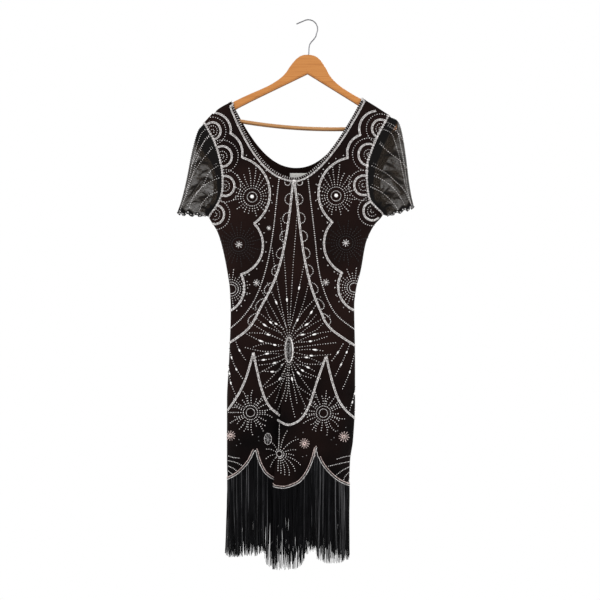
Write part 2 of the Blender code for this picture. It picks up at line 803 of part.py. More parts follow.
def fringe(name, panel, inner, finish):
    """A narrow strip just under the hem, with upright strands fused into its under edge."""
    hem = panel[-1]
    hem_inner = inner[-1]
    steepness = hem_steepness(hem)
    outer_cuts, inner_cuts, widen, strand_of = [], [], [], []
    for c in range(len(hem) - 1):
        run = Vector((hem[c + 1].x - hem[c].x, hem[c + 1].y - hem[c].y, 0)).length
        strands = max(1, round(run / STRAND_SPACING))
        for s in range(strands):
            start = (s + (1 - STRAND_SHARE) / 2) / strands
            end = start + STRAND_SHARE / strands
            cuts = ([0.0] if not outer_cuts else []) + [start, end]
            for share in cuts:
                outer_cuts.append(hem[c].lerp(hem[c + 1], share))
                inner_cuts.append(hem_inner[c].lerp(hem_inner[c + 1], share))
                widen.append(mix(steepness[c], steepness[c + 1], share))
            strand_of.append(len(outer_cuts) - 2)
    outer_cuts.append(hem[-1].copy())
    inner_cuts.append(hem_inner[-1].copy())
    widen.append(steepness[-1])
    count = len(outer_cuts)
    down = Vector((0, 0, -1))
    points = []
    for cuts in (outer_cuts, inner_cuts):
        points += [point + down * HEM_GAP * wide for point, wide in zip(cuts, widen)]
        points += [point + down * (HEM_GAP + STRIP_WIDTH) * wide
                   for point, wide in zip(cuts, widen)]
    back = 2 * count
    faces = []
    for c in range(count - 1):
        a, b = c, c + 1
        faces.append((a, b, count + b, count + a))
        faces.append((back + b, back + a, back + count + a, back + count + b))
        faces.append((b, a, back + a, back + b))
        if c not in strand_of:
            faces.append((count + a, count + b, back + count + b, back + count + a))
    faces.append((0, count, back + count, back))
    faces.append((2 * count - 1, count - 1, back + count - 1, back + 2 * count - 1))
    for number, c in enumerate(strand_of):
        roots = [count + c, count + c + 1, back + count + c + 1, back + count + c]
        corners = [points[i] for i in roots]
        middle = sum(corners, Vector()) / 4
        low = (HEM_PEAK - middle.z) / SCALLOP_DEPTH
        length = mix(FRINGE_AT_PEAK, FRINGE_AT_LOW, min(1, max(0, low)))
        length += 5 * MM * math.sin(number * 2.4) + 4 * MM * math.sin(number * 0.7)
        foot = middle + down * length
        tips = []
        for corner in corners:
            flat = Vector((corner.x - middle.x, corner.y - middle.y, 0))
            tips.append(foot + flat * STRAND_TAPER)
        first = len(points)
        points += tips
        for i in range(4):
            j = (i + 1) % 4
            faces.append((roots[i], roots[j], first + j, first + i))
        faces.append((first, first + 1, first + 2, first + 3))
    return solid(name, points, faces, finish)


def make_label(finish):
    """A bare woven label, lying on the inside of the back."""
    middle_x, middle_z = LABEL_MIDDLE
    front_face = []
    for rise in (0.5, -0.5):
        row = []
        for step in range(LABEL_COLUMNS + 1):
            x = middle_x + LABEL_WIDTH * (step / LABEL_COLUMNS - 0.5)
            z = middle_z + LABEL_HEIGHT * rise
            seat = SEAM_GAP / 2 + cloth_depth(x, z) - CLOTH - LABEL_GAP
            row.append(Vector((x, seat - LABEL_THICKNESS, z)))
        front_face.append(row)
    thick = Vector((0, LABEL_THICKNESS, 0))
    back_face = [[point + thick for point in row] for row in front_face]
    wall("label", front_face, back_face, finish)


def band(name, grid, normals, rows, columns, finish):
    """A beaded band on a panel: some of its own points, moved out."""
    points = [grid[r][columns[0]:columns[1]] for r in rows]
    lines = [normals[r][columns[0]:columns[1]] for r in rows]
    inner = moved(points, lines, BAND_GAP)
    outer = moved(points, lines, BAND_GAP + BAND_THICKNESS)
    return wall(name, outer, inner, finish)


def make_dress():
    cloth = material("cloth", (0.013, 0.010, 0.009), 0.75)
    sheer = material("sheer_net", (0.12, 0.11, 0.10), 0.7)
    beads = material("bead_band", (0.72, 0.70, 0.68), 0.3, 0.6)
    yarn = material("fringe_yarn", (0.004, 0.004, 0.006), 0.45)
    woven = material("label_cloth", (0.85, 0.85, 0.83), 0.8)

    shares = front_shares()
    front = panel_grid(FRONT, shares)
    front_normals = grid_normals(front, 1)
    square_seams(front_normals, shares)
    front_inner = moved(front, front_normals, -CLOTH)
    wall("dress_front", front, front_inner, cloth)

    mirrored = back_shares()
    back_left_to_right = panel_grid(BACK, mirrored)
    back = [row[::-1] for row in back_left_to_right]
    back_order = mirrored[::-1]
    back_normals = grid_normals(back, 1)
    square_seams(back_normals, back_order)
    back_inner = moved(back, back_normals, -CLOTH)
    wall("dress_back", back, back_inner, cloth)

    for at_right, name, edge, cuff in (
            (False, "sleeve_left", LEFT_SLEEVE_EDGE, LEFT_CUFF),
            (True, "sleeve_right", RIGHT_SLEEVE_EDGE, RIGHT_CUFF)):
        column = len(shares) - 1 if at_right else 0
        loop = armhole_loop((front, front_normals), (back, back_normals), column, at_right)
        sleeve(name, loop, edge, cuff, at_right, sheer)

    wrap_rows = range(len(WRAP_ANGLES))
    last = len(front) - 1
    for name, grid, normals, order in (("front", front, front_normals, shares),
                                       ("back", back, back_normals, back_order)):
        neck = [c for c, share in enumerate(order)
                if SHOULDER_SHARE <= share <= 1 - SHOULDER_SHARE]
        band("neck_band_" + name, grid, normals, wrap_rows, (neck[0], neck[-1] + 1), beads)
        band("hem_band_" + name, grid, normals, (last - 1, last), (0, len(order)), beads)

    fringe("fringe_front", front, front_inner, yarn)
    fringe("fringe_back", back, back_inner, yarn)
    make_label(woven)


def main():
    for thing in list(bpy.data.objects):
        bpy.data.objects.remove(thing, do_unlink=True)
    make_hanger(material("beech", (0.60, 0.26, 0.08), 0.35),
                material("bar_beech", (0.53, 0.28, 0.12), 0.45),
                material("hook_steel", (0.75, 0.76, 0.78), 0.25, 1.0))
    make_dress()


main()
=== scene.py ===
# %% [markdown]
# # A beaded flapper dress on its wooden hanger
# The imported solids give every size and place. This script dresses them: fine cloth
# shells on the same form, sheer sleeves, thousands of small beads laid in sunbursts and
# scallops, a fringe of fine yarn, and the grain of the wood. All pieces hang still.

# %% Load the frame
import math
import random

import bmesh
import bpy
import numpy as np
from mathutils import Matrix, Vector
from mathutils.bvhtree import BVHTree


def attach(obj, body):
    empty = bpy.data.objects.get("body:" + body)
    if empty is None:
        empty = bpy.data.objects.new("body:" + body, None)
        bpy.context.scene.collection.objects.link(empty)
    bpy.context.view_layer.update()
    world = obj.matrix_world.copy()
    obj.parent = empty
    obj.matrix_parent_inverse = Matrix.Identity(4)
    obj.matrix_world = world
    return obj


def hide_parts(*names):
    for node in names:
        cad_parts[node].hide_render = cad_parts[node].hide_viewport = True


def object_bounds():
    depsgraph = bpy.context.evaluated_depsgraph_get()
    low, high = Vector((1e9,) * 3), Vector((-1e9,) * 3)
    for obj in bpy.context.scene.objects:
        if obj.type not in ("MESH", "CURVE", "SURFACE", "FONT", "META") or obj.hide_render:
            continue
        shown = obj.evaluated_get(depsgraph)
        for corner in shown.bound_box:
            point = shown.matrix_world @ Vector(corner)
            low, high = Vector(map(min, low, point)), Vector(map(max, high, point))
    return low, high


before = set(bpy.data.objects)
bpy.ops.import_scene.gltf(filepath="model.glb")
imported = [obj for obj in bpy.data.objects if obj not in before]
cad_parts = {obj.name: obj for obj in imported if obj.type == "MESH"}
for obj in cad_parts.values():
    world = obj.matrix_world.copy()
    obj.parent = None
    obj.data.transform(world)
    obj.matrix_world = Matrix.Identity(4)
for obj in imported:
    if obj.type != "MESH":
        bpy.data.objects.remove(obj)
cad_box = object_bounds()
MM = 0.001
print("solids:", sorted(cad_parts))
print("box of the solids:", cad_box)

# %% [markdown]
# ## Camera, floor and light
# The photograph looks straight at the waist of the dress on a white ground. A longish lens
# from a few steps away gives that view. One pixel of the photograph is a named size, so
# that a place seen in it can be turned into a line of sight later on.

# %% Camera
PIXEL = 2.42 * MM
PICTURE = 600
HOOK_PIXEL = (308.4, 20.3)
CAMERA_AWAY = 2.5
eye = Vector(((PICTURE / 2 - HOOK_PIXEL[0]) * PIXEL, -CAMERA_AWAY,
              (HOOK_PIXEL[1] - PICTURE / 2) * PIXEL))

lens = bpy.data.cameras.new("photo_camera")
lens.lens = lens.sensor_width * CAMERA_AWAY / (PICTURE * PIXEL)
lens.clip_end = 20
camera = bpy.data.objects.new("photo_camera", lens)
camera.location = eye
camera.rotation_euler = (math.radians(90), 0, 0)
bpy.context.scene.collection.objects.link(camera)
bpy.context.scene.camera = camera
print("camera at", tuple(round(value, 3) for value in eye), "lens", round(lens.lens, 1))

# %% Floor and white surroundings
FLOOR_DROP = 0.45
FLOOR_HALF_WIDTH = 1.6
FLOOR_HALF_DEPTH = 1.2
FLOOR_HEIGHT = cad_box[0][2] - FLOOR_DROP


def plain_material(name, colour, roughness):
    """A Principled material with one colour and one roughness."""
    finish = bpy.data.materials.new(name)
    finish.use_nodes = True
    shader = finish.node_tree.nodes["Principled BSDF"]
    shader.inputs["Base Color"].default_value = (*colour, 1)
    shader.inputs["Roughness"].default_value = roughness
    return finish


floor_mesh = bpy.data.meshes.new("floor")
floor_corners = [(right * FLOOR_HALF_WIDTH, back * FLOOR_HALF_DEPTH, FLOOR_HEIGHT)
                 for right, back in ((-1, -1), (1, -1), (1, 1), (-1, 1))]
floor_mesh.from_pydata(floor_corners, [], [(0, 1, 2, 3)])
floor_mesh.materials.append(plain_material("pale_floor", (0.86, 0.86, 0.85), 0.7))
floor = bpy.data.objects.new("floor", floor_mesh)
bpy.context.scene.collection.objects.link(floor)

world = bpy.data.worlds.new("white_room")
world.use_nodes = True
world.node_tree.nodes["Background"].inputs["Color"].default_value = (1, 1, 1, 1)
world.node_tree.nodes["Background"].inputs["Strength"].default_value = 1.0
bpy.context.scene.world = world
bpy.context.scene.view_settings.view_transform = "Standard"
print("floor at", round(FLOOR_HEIGHT, 3))

# %% Soft lamps


def soft_lamp(name, place, aim, size, watts):
    """A square lamp at a place, turned to face a point."""
    light = bpy.data.lights.new(name, "AREA")
    light.size = size
    light.energy = watts
    lamp = bpy.data.objects.new(name, light)
    lamp.location = place
    lamp.rotation_euler = (Vector(aim) - Vector(place)).to_track_quat("-Z", "Y").to_euler()
    bpy.context.scene.collection.objects.link(lamp)


chest = (0, 0, -0.6)
soft_lamp("key_lamp", (-1.5, -2.2, 0.9), chest, 1.2, 22)
soft_lamp("side_lamp", (1.9, -1.2, 0.1), chest, 0.9, 9)
soft_lamp("back_lamp", (0.6, 2.2, 0.8), chest, 1.2, 14)
print("three lamps")

# %% [markdown]
# ## The form of the dress
# The solids were drawn from a few short tables: the side edges, the depth of the body, the
# droop of the shoulders over the hanger. The same tables and rules are written here again,
# so that a much finer cloth can follow the same form without any fitting. A curve that
# never overshoots is read through each table.

# %% Reading a short table


def table(columns, *rows):
    """A short table: one tuple of values for each named column, lengths given in mm."""
    return dict(zip(columns.split(), zip(*rows)))


def read_row(columns, key, name, place):
    """One named column at a place along the key column, on a curve with no overshoot."""
    keys = [value * MM for value in columns[key]]
    values = columns[name]
    if keys[0] > keys[-1]:
        keys = [-value for value in keys]
        place = -place
    if place <= keys[0]:
        return values[0] * MM
    if place >= keys[-1]:
        return values[-1] * MM
    last = len(keys) - 1
    rises = [(values[i + 1] - values[i]) / (keys[i + 1] - keys[i]) for i in range(last)]

    def slope(i):
        if i == 0:
            return rises[0]
        if i == last:
            return rises[-1]
        if rises[i - 1] * rises[i] <= 0:
            return 0.0
        return 2 * rises[i - 1] * rises[i] / (rises[i - 1] + rises[i])

    i = max(index for index in range(last) if keys[index] <= place)
    step = keys[i + 1] - keys[i]
    t = (place - keys[i]) / step
    start = values[i] * (1 + 2 * t) * (1 - t) ** 2 + slope(i) * step * t * (1 - t) ** 2
    end = values[i + 1] * t * t * (3 - 2 * t) + slope(i + 1) * step * t * t * (t - 1)
    return (start + end) * MM


def smooth(value):
    """0 to 1 with a soft start and end."""
    t = min(1.0, max(0.0, value))
    return t * t * (3 - 2 * t)


def mix(first, second, share):
    return first + (second - first) * share


print("half way up a soft step:", smooth(0.5))

# %% The hanger's top edge, which carries the shoulders
TILT = math.radians(3.0)
HANGER_CENTRE = 5 * MM
HALF_SPAN = 222.5 * MM
WOOD_STEPS = 60
WOOD_TOP = table(
    "out height",
    (0, -83), (13, -84.5), (24, -90), (41, -110), (55, -133), (72, -149),
    (96, -165), (136, -185), (180, -209), (214, -231), (222.5, -243))


def tilted(x, height):
    """A point of the hanger's own upright frame, turned with the hanger."""
    return (x * math.cos(TILT) + height * math.sin(TILT),
            -x * math.sin(TILT) + height * math.cos(TILT))


def wood_top_line():
    """The arch's top edge in the dress's frame, from left to right."""
    outs = [HALF_SPAN * i / WOOD_STEPS for i in range(WOOD_STEPS + 1)]
    heights = [read_row(WOOD_TOP, "out", "height", out) for out in outs]
    left = [tilted(HANGER_CENTRE - out, z) for out, z in zip(outs, heights)]
    right = [tilted(HANGER_CENTRE + out, z) for out, z in zip(outs, heights)]
    return left[::-1] + right[1:]


WOOD_LINE = wood_top_line()


def on_line(points, x):
    """Height of a line of points at x."""
    for (x0, z0), (x1, z1) in zip(points, points[1:]):
        if x <= x1:
            return mix(z0, z1, (x - x0) / (x1 - x0))
    return points[-1][1]


print("wood from x", round(WOOD_LINE[0][0], 3), "to", round(WOOD_LINE[-1][0], 3))

# %% Shoulders, neckline and side edges
WRAP_RADIUS = 9.4 * MM
CLOTH_LIFT = 2.8 * MM
WRAP_REACH = 150 * MM
NECK_LEFT = -185 * MM
NECK_RIGHT = 130 * MM
NECK_CENTRE = -29 * MM
SHOULDER_SHARE = 0.18
NECK_TURN = 0.045
PULL_REACH = 0.33
UNDERARM_LEFT = -476 * MM
UNDERARM_RIGHT = -469 * MM
SECTION_POWER = 2.4
MEAN_ASPECT = 0.29
FRONT = -1
BACK = 1
NECK_LOW = {FRONT: -384.5 * MM, BACK: -353 * MM}
NECK_POWERS = {FRONT: (2.2, 1.6), BACK: (2.15, 2.1)}
EDGE_NAME = {FRONT: "front", BACK: "back"}

LEFT_DROOP = table("x height", (-262, -257), (-253, -248), (-241, -235), (-230, -223))
LEFT_EDGE = table(
    "height front back section",
    (-251, -253, -253, -262), (-266, -245, -256, -262), (-292, -231, -248, -259),
    (-319, -221, -235, -256), (-345, -214, -226, -254), (-374, -209, -221, -251),
    (-403, -208, -223, -248), (-428, -212, -231, -245), (-452, -224, -236, -243),
    (-476, -240, -240, -240), (-495, -230, -230, -230), (-510, -221, -221, -221),
    (-539, -211, -211, -211), (-604, -197, -197, -197), (-653, -190, -190, -190),
    (-701, -188, -188, -188), (-822, -192, -192, -192), (-919, -197, -197, -197),
    (-1064, -197, -197, -197), (-1140, -194, -194, -194))
RIGHT_EDGE = table(
    "height front back section",
    (-233, 196, 196, 212), (-253, 185, 200, 214), (-285, 168, 195, 212),
    (-319, 154, 179, 207), (-350, 144, 167, 202), (-382, 142, 165, 196),
    (-411, 144, 169, 190), (-435, 149, 173, 186), (-452, 163, 177, 183),
    (-469, 180, 180, 180), (-495, 160, 160, 160), (-510, 151, 151, 151),
    (-539, 139, 139, 139), (-604, 127, 127, 127), (-653, 115, 115, 115),
    (-690, 111, 111, 111), (-822, 113, 113, 113), (-919, 113, 113, 113),
    (-1016, 108, 108, 108), (-1064, 101, 101, 101), (-1140, 98, 98, 98))
DEPTH = table(
    "height half_depth",
    (-230, 20), (-300, 28), (-387, 36), (-476, 42), (-568, 42), (-677, 40),
    (-800, 44), (-920, 48), (-1020, 48), (-1140, 46))


def shoulder_height(x):
    """Top of the cloth over the hanger, bridged straight across the neck opening."""
    if x < LEFT_DROOP["x"][-1] * MM:
        return read_row(LEFT_DROOP, "x", "height", x)
    if NECK_LEFT < x < NECK_RIGHT:
        left = on_line(WOOD_LINE, NECK_LEFT)
        right = on_line(WOOD_LINE, NECK_RIGHT)
        return mix(left, right, (x - NECK_LEFT) / (NECK_RIGHT - NECK_LEFT)) + CLOTH_LIFT
    return on_line(WOOD_LINE, x) + CLOTH_LIFT


def neck_height(side, x):
    """Height of the neckline at x, a power curve down from each shoulder."""
    low = NECK_LOW[side]
    end = NECK_LEFT if x < NECK_CENTRE else NECK_RIGHT
    power = NECK_POWERS[side][0] if x < NECK_CENTRE else NECK_POWERS[side][1]
    share = abs((x - NECK_CENTRE) / (end - NECK_CENTRE))
    return low + (shoulder_height(end) - low) * share ** power


def edges(side, height):
    """Left and right edge of a panel at a height."""
    return (read_row(LEFT_EDGE, "height", EDGE_NAME[side], height),
            read_row(RIGHT_EDGE, "height", EDGE_NAME[side], height))


def cloth_depth(x, height):
    """How far the cloth stands from the middle plane."""
    left = read_row(LEFT_EDGE, "height", "section", height)
    right = read_row(RIGHT_EDGE, "height", "section", height)
    across = min(1.0, abs(x - (left + right) / 2) / ((right - left) / 2))
    oval = (1 - across ** SECTION_POWER) ** (1 / SECTION_POWER)
    full = read_row(DEPTH, "height", "half_depth", height) * oval
    below = max(0.0, shoulder_height(x) - height)
    turned = 1 - min(below, WRAP_RADIUS) / WRAP_RADIUS
    wrap = WRAP_RADIUS * math.sqrt(max(0.0, 1 - turned * turned))
    return mix(wrap, full, smooth(below / WRAP_REACH))


print("neckline low point", neck_height(FRONT, NECK_CENTRE))

# %% Even steps round half of the body's oval


def oval_places(count=400):
    """Shares of the way round half of the oval, and x there from -1 to 1."""
    points = []
    for i in range(count + 1):
        angle = math.pi * i / count
        c = -math.cos(angle)
        x = math.copysign(abs(c) ** (2 / SECTION_POWER), c)
        y = abs(math.sin(angle)) ** (2 / SECTION_POWER) * MEAN_ASPECT
        points.append((x, y))
    lengths = [0.0]
    for first, second in zip(points, points[1:]):
        lengths.append(lengths[-1] + math.dist(first, second))
    return [length / lengths[-1] for length in lengths], [point[0] for point in points]


OVAL_SHARES, OVAL_XS = oval_places()


def oval_x(share):
    """x, from -1 to 1, at a share of the way round half of the oval."""
    for i in range(len(OVAL_SHARES) - 1):
        if share <= OVAL_SHARES[i + 1]:
            span = OVAL_SHARES[i + 1] - OVAL_SHARES[i]
            return mix(OVAL_XS[i], OVAL_XS[i + 1], (share - OVAL_SHARES[i]) / span)
    return 1.0


print("quarter of the way round is x", round(oval_x(0.25), 3))

# %% [markdown]
# ## Folds
# The solids already hold the big folds: one lapped fold down the front of the skirt and a
# few soft waves round it. Real crepe also carries small creases that were never planned:
# drag lines from the shoulders, a slack ripple at the waist, soft flutes towards the hem.
# Each one below is given as a soft ridge along a short line, none like the next.

# %% The big folds, as on the solids
HEM_PEAK = -1029.5 * MM
LEFT_SCALLOP = 82 * MM
SCALLOP_DEPTH = 95 * MM
RIGHT_SCALLOP = 97 * MM
SCALLOP_POWER = 1.6
PEAKS = {FRONT: (0.26, 0.693), BACK: (0.25, 0.75)}
SCALLOP_LOW = {FRONT: 0.53, BACK: 0.5}
FOLD_PLACE = 0.44
FOLD_TOP = -730 * MM
FOLD_FULL = -860 * MM
SKIRT_HALF_ROUND = 330 * MM
FOLD_LEAN = 13 * MM
LEAN_REACH = 0.22
LEAN_TOP = -940 * MM
LEAN_FULL = -1115 * MM
WAVE_TOP = -700 * MM
WAVE_FULL = -1000 * MM
SEAM_GAP = 0.3 * MM
LAP = table(
    "along across out",
    (-30, -30, 0), (-20, -16, -3), (-11, -2, -6.5), (-3, 6, -7.5), (3, 5, -3),
    (9, -3, 1.5), (15, -2, 5), (24, 10, 5.5), (36, 27, 3), (50, 50, 0))
WAVES = {
    FRONT: table("place half_width out", (0.13, 0.07, 4), (0.68, 0.06, -4), (0.86, 0.06, 4)),
    BACK: table("place half_width out", (0.16, 0.07, 5), (0.36, 0.07, -5), (0.63, 0.08, 5),
                (0.85, 0.06, -3))}


def waves_out(side, share, height):
    """Soft upright folds of the skirt."""
    waves = WAVES[side]
    grown = smooth((WAVE_TOP - height) / (WAVE_TOP - WAVE_FULL))
    out = 0.0
    for place, half_width, size in zip(waves["place"], waves["half_width"], waves["out"]):
        away = min(1.0, abs(share - place) / half_width)
        out += size * MM * (1 + math.cos(math.pi * away)) / 2
    return out * grown


def lap_shift(share, height):
    """Sideways and outward move of the front's lapped fold."""
    along = (share - FOLD_PLACE) * SKIRT_HALF_ROUND
    if not LAP["along"][0] * MM < along < LAP["along"][-1] * MM:
        return 0.0, 0.0
    grown = smooth((FOLD_TOP - height) / (FOLD_TOP - FOLD_FULL))
    across = read_row(LAP, "along", "across", along) - along
    return across * grown, read_row(LAP, "along", "out", along) * grown


def fold_lean(share, height):
    """Sideways lean of the lapped fold and the cloth beside it, towards the hem."""
    away = min(1.0, abs(share - FOLD_PLACE) / LEAN_REACH)
    grown = min(1.0, max(0.0, (LEAN_TOP - height) / (LEAN_TOP - LEAN_FULL)))
    return -FOLD_LEAN * (1 + math.cos(math.pi * away)) / 2 * grown


def hem_height(side, share):
    """The scalloped hem: round below, pointed between two scallops."""
    first, second = PEAKS[side]
    low = SCALLOP_LOW[side]
    depth = SCALLOP_DEPTH
    if share < first:
        away = share / first
        depth = LEFT_SCALLOP
    elif share > second:
        away = (1 - share) / (1 - second)
        depth = RIGHT_SCALLOP
    elif share < low:
        away = (low - share) / (low - first)
    else:
        away = (share - low) / (second - low)
    drop = max(0.0, 1 - away ** SCALLOP_POWER) ** (1 / SCALLOP_POWER)
    return HEM_PEAK - depth * drop


print("hem from", HEM_PEAK, "to", HEM_PEAK - SCALLOP_DEPTH)

# %% Small creases, given as (place, height) from one end to the other
CREASES = {
    FRONT: table(
        "place_a height_a place_b height_b half_width out",
        (120, -292, 230, -372, 9, 1.8), (90, -330, 185, -452, 10, -1.6),
        (870, -278, 760, -366, 9, 1.7), (905, -322, 812, -440, 11, -1.7),
        (300, -440, 245, -566, 13, 1.5), (690, -430, 752, -552, 12, 1.4),
        (60, -560, 245, -606, 10, -1.7), (935, -566, 790, -622, 10, -1.6),
        (70, -622, 330, -648, 12, 1.9), (925, -634, 700, -664, 11, 1.8),
        (110, -676, 300, -700, 12, -1.4), (560, -640, 640, -800, 12, 1.5),
        (335, -700, 352, -905, 12, 1.7), (770, -720, 806, -985, 13, 1.9),
        (205, -760, 182, -1015, 13, -1.9), (610, -850, 628, -1060, 12, 1.6),
        (60, -800, 52, -1040, 11, 1.5), (940, -820, 952, -1050, 11, -1.5)),
    BACK: table(
        "place_a height_a place_b height_b half_width out",
        (130, -276, 262, -362, 10, 1.9), (855, -270, 742, -350, 9, 1.8),
        (150, -330, 330, -405, 11, -1.7), (835, -322, 660, -398, 12, -1.7),
        (230, -430, 190, -560, 12, 1.5), (760, -424, 812, -566, 13, 1.6),
        (80, -575, 320, -640, 11, 1.9), (915, -560, 680, -628, 11, -1.8),
        (210, -664, 470, -690, 12, -1.5), (880, -668, 560, -700, 12, 1.6),
        (250, -730, 222, -1000, 13, 1.8), (455, -720, 470, -980, 13, -1.6),
        (548, -790, 566, -1080, 12, 1.7), (730, -745, 770, -1010, 13, 1.6),
        (100, -790, 84, -1040, 11, -1.5), (915, -805, 930, -1045, 11, 1.5))}
PANEL_WIDTH = 400 * MM


def creases_out(side, share, height):
    """How far the small creases lift the cloth at one place."""
    rows = CREASES[side]
    out = 0.0
    x = share * PANEL_WIDTH
    for place_a, height_a, place_b, height_b, half_width, size in zip(*rows.values()):
        ax, az = place_a * MM * PANEL_WIDTH, height_a * MM
        bx, bz = place_b * MM * PANEL_WIDTH, height_b * MM
        run = math.hypot(bx - ax, bz - az)
        along = ((x - ax) * (bx - ax) + (height - az) * (bz - az)) / run
        if not 0 < along < run:
            continue
        across = abs((x - ax) * (bz - az) - (height - az) * (bx - ax)) / run
        wide = half_width * MM
        if across < 2 * wide:
            ridge = math.exp(-(across / wide) ** 2 * 2)
            out += size * MM * ridge * math.sin(math.pi * along / run)
    return out


for side, name in EDGE_NAME.items():
    print(name, "small creases:", len(CREASES[side]["out"]))

# %% One point of the cloth
WRAP_STEPS = 8
YOKE_STEPS = 58
SKIRT_STEPS = 128
EDGE_FADE = 0.05
TOP_FADE = 60 * MM
TURN_REACH = 0.3
TURN_HALVINGS = 30
NECK_CROWDING = 0.45


def cloth_point(side, share, x, height):
    """A point of the outer cloth at x and a height; creases fade at the sides and the top."""
    out = SEAM_GAP / 2 + cloth_depth(x, height)
    edge_fade = smooth(min(share, 1 - share) / EDGE_FADE)
    top_fade = smooth((shoulder_height(x) - height - WRAP_RADIUS) / TOP_FADE)
    if 0 < share < 1:
        out += waves_out(side, share, height)
        out += creases_out(side, share, height) * edge_fade * top_fade
        if side == FRONT:
            across, lap_out = lap_shift(share, height)
            x += across + fold_lean(share, height)
            out += lap_out
    return Vector((x, side * out, height))


def neck_turn_point(side, end, turn):
    """A point of the neckline where it turns over the wood, by a share of the turn."""
    drop = WRAP_RADIUS * (1 - math.cos(math.radians(90) * turn))
    near = end
    far = mix(end, NECK_CENTRE, TURN_REACH)
    for _ in range(TURN_HALVINGS):
        x = (near + far) / 2
        if shoulder_height(x) - neck_height(side, x) < drop:
            near = x
        else:
            far = x
    return near, neck_height(side, near)


def top_point(side, share):
    """x and height of a panel's top edge: shoulder, neckline, shoulder."""
    name = EDGE_NAME[side]
    if share <= SHOULDER_SHARE:
        x = mix(LEFT_EDGE[name][0] * MM, NECK_LEFT, share / SHOULDER_SHARE)
        return x, shoulder_height(x)
    if share >= 1 - SHOULDER_SHARE:
        x = mix(RIGHT_EDGE[name][0] * MM, NECK_RIGHT, (1 - share) / SHOULDER_SHARE)
        return x, shoulder_height(x)
    inset = SHOULDER_SHARE + NECK_TURN
    if share < inset:
        return neck_turn_point(side, NECK_LEFT, (share - SHOULDER_SHARE) / NECK_TURN)
    if share > 1 - inset:
        return neck_turn_point(side, NECK_RIGHT, (1 - SHOULDER_SHARE - share) / NECK_TURN)
    across = (share - inset) / (1 - 2 * inset)
    crowded = mix(across, (1 - math.cos(math.pi * across)) / 2, NECK_CROWDING)
    start = neck_turn_point(side, NECK_LEFT, 1)[0]
    end = neck_turn_point(side, NECK_RIGHT, 1)[0]
    x = mix(start, end, crowded)
    return x, neck_height(side, x)


def armhole_pull(side, share, height):
    """How far an armhole's curve draws a column in from its straight way down."""
    name = EDGE_NAME[side]
    near_left = share < 0.5
    columns = LEFT_EDGE if near_left else RIGHT_EDGE
    underarm = UNDERARM_LEFT if near_left else UNDERARM_RIGHT
    weight = smooth(1 - min(share, 1 - share) / PULL_REACH)
    if weight <= 0 or height < underarm:
        return 0.0
    top = columns["height"][0] * MM
    down = max(0.0, (top - height) / (top - underarm))
    start = columns[name][0] * MM
    end = read_row(columns, "height", name, underarm)
    return (read_row(columns, "height", name, height) - mix(start, end, down)) * weight


print("top of the left shoulder", top_point(FRONT, 0))

# %% Columns and rows of a fine panel
WIDE_STEP = 0.009
FINE_STEP = 0.005
FINE_EDGE = 0.05
FINE_FOLD_SHIFT = 0.03
FINE_FOLD_REACH = 0.13
TURN_CLEARANCE = 0.003


def panel_shares(side):
    """Places round a panel, closer together at the sides and over the lapped fold."""
    shares = [0.0]
    while shares[-1] < 1:
        place = shares[-1]
        at_edge = min(place, 1 - place) <= FINE_EDGE
        at_fold = side == FRONT and abs(place - FOLD_PLACE - FINE_FOLD_SHIFT) < FINE_FOLD_REACH
        shares.append(min(1.0, place + (FINE_STEP if at_edge or at_fold else WIDE_STEP)))
    turns = [SHOULDER_SHARE, 1 - SHOULDER_SHARE]
    apart = [share for share in shares
             if min(abs(share - turn) for turn in turns) > TURN_CLEARANCE]
    return sorted(apart + turns)


def panel_column(side, share):
    """One column of cloth points from the top edge down to the hem."""
    top_x, top = top_point(side, share)
    chest = mix(UNDERARM_LEFT, UNDERARM_RIGHT, share)
    hem = hem_height(side, share)
    low_share = (oval_x(share) + 1) / 2
    chest_x = mix(*edges(side, chest), low_share)
    heights = [top - WRAP_RADIUS * (1 - math.cos(math.pi / 2 * i / WRAP_STEPS))
               for i in range(WRAP_STEPS + 1)]
    yoke = heights[-1]
    heights += [mix(yoke, chest, (i + 1) / YOKE_STEPS) for i in range(YOKE_STEPS)]
    heights += [mix(chest, hem, (i + 1) / SKIRT_STEPS) for i in range(SKIRT_STEPS)]
    column = []
    for height in heights:
        if height > chest:
            x = mix(top_x, chest_x, (top - height) / (top - chest))
            x += armhole_pull(side, share, height)
        else:
            x = mix(*edges(side, height), low_share)
        column.append(cloth_point(side, share, x, height))
    return column


UNDERARM_ROW = WRAP_STEPS + YOKE_STEPS
shares_of = {side: panel_shares(side) for side in (FRONT, BACK)}
panels = {side: [list(row) for row in zip(*[panel_column(side, s) for s in shares_of[side]])]
          for side in (FRONT, BACK)}
for side, name in EDGE_NAME.items():
    print(name, "panel:", len(panels[side]), "rows of", len(panels[side][0]))

# %% [markdown]
# ## Turning rows of points into meshes
# Cloth, sleeves, label and seam are all rows of points joined by four-sided faces, so one
# helper numbers the faces. Another one makes the mesh and lets it ride with the dress.

# %% Mesh helpers


def place_mesh(name, points, faces, finish):
    """A smooth-shaded object from points and faces, riding with the dress."""
    mesh = bpy.data.meshes.new(name)
    mesh.from_pydata([tuple(point) for point in points], [], faces)
    mesh.materials.append(finish)
    mesh.shade_smooth()
    thing = bpy.data.objects.new(name, mesh)
    bpy.context.scene.collection.objects.link(thing)
    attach(thing, "root")
    return thing


def grid_faces(rows, count, closed=False):
    """Faces between neighbouring rows of points, joined round if the rows are closed."""
    faces = []
    for r in range(rows - 1):
        for c in range(count if closed else count - 1):
            n = (c + 1) % count
            faces.append((r * count + c, (r + 1) * count + c,
                          (r + 1) * count + n, r * count + n))
    return faces


def triangles_in(thing):
    """Number of triangles in an object's finished mesh."""
    seen = thing.evaluated_get(bpy.context.evaluated_depsgraph_get()).data
    seen.calc_loop_triangles()
    return len(seen.loop_triangles)


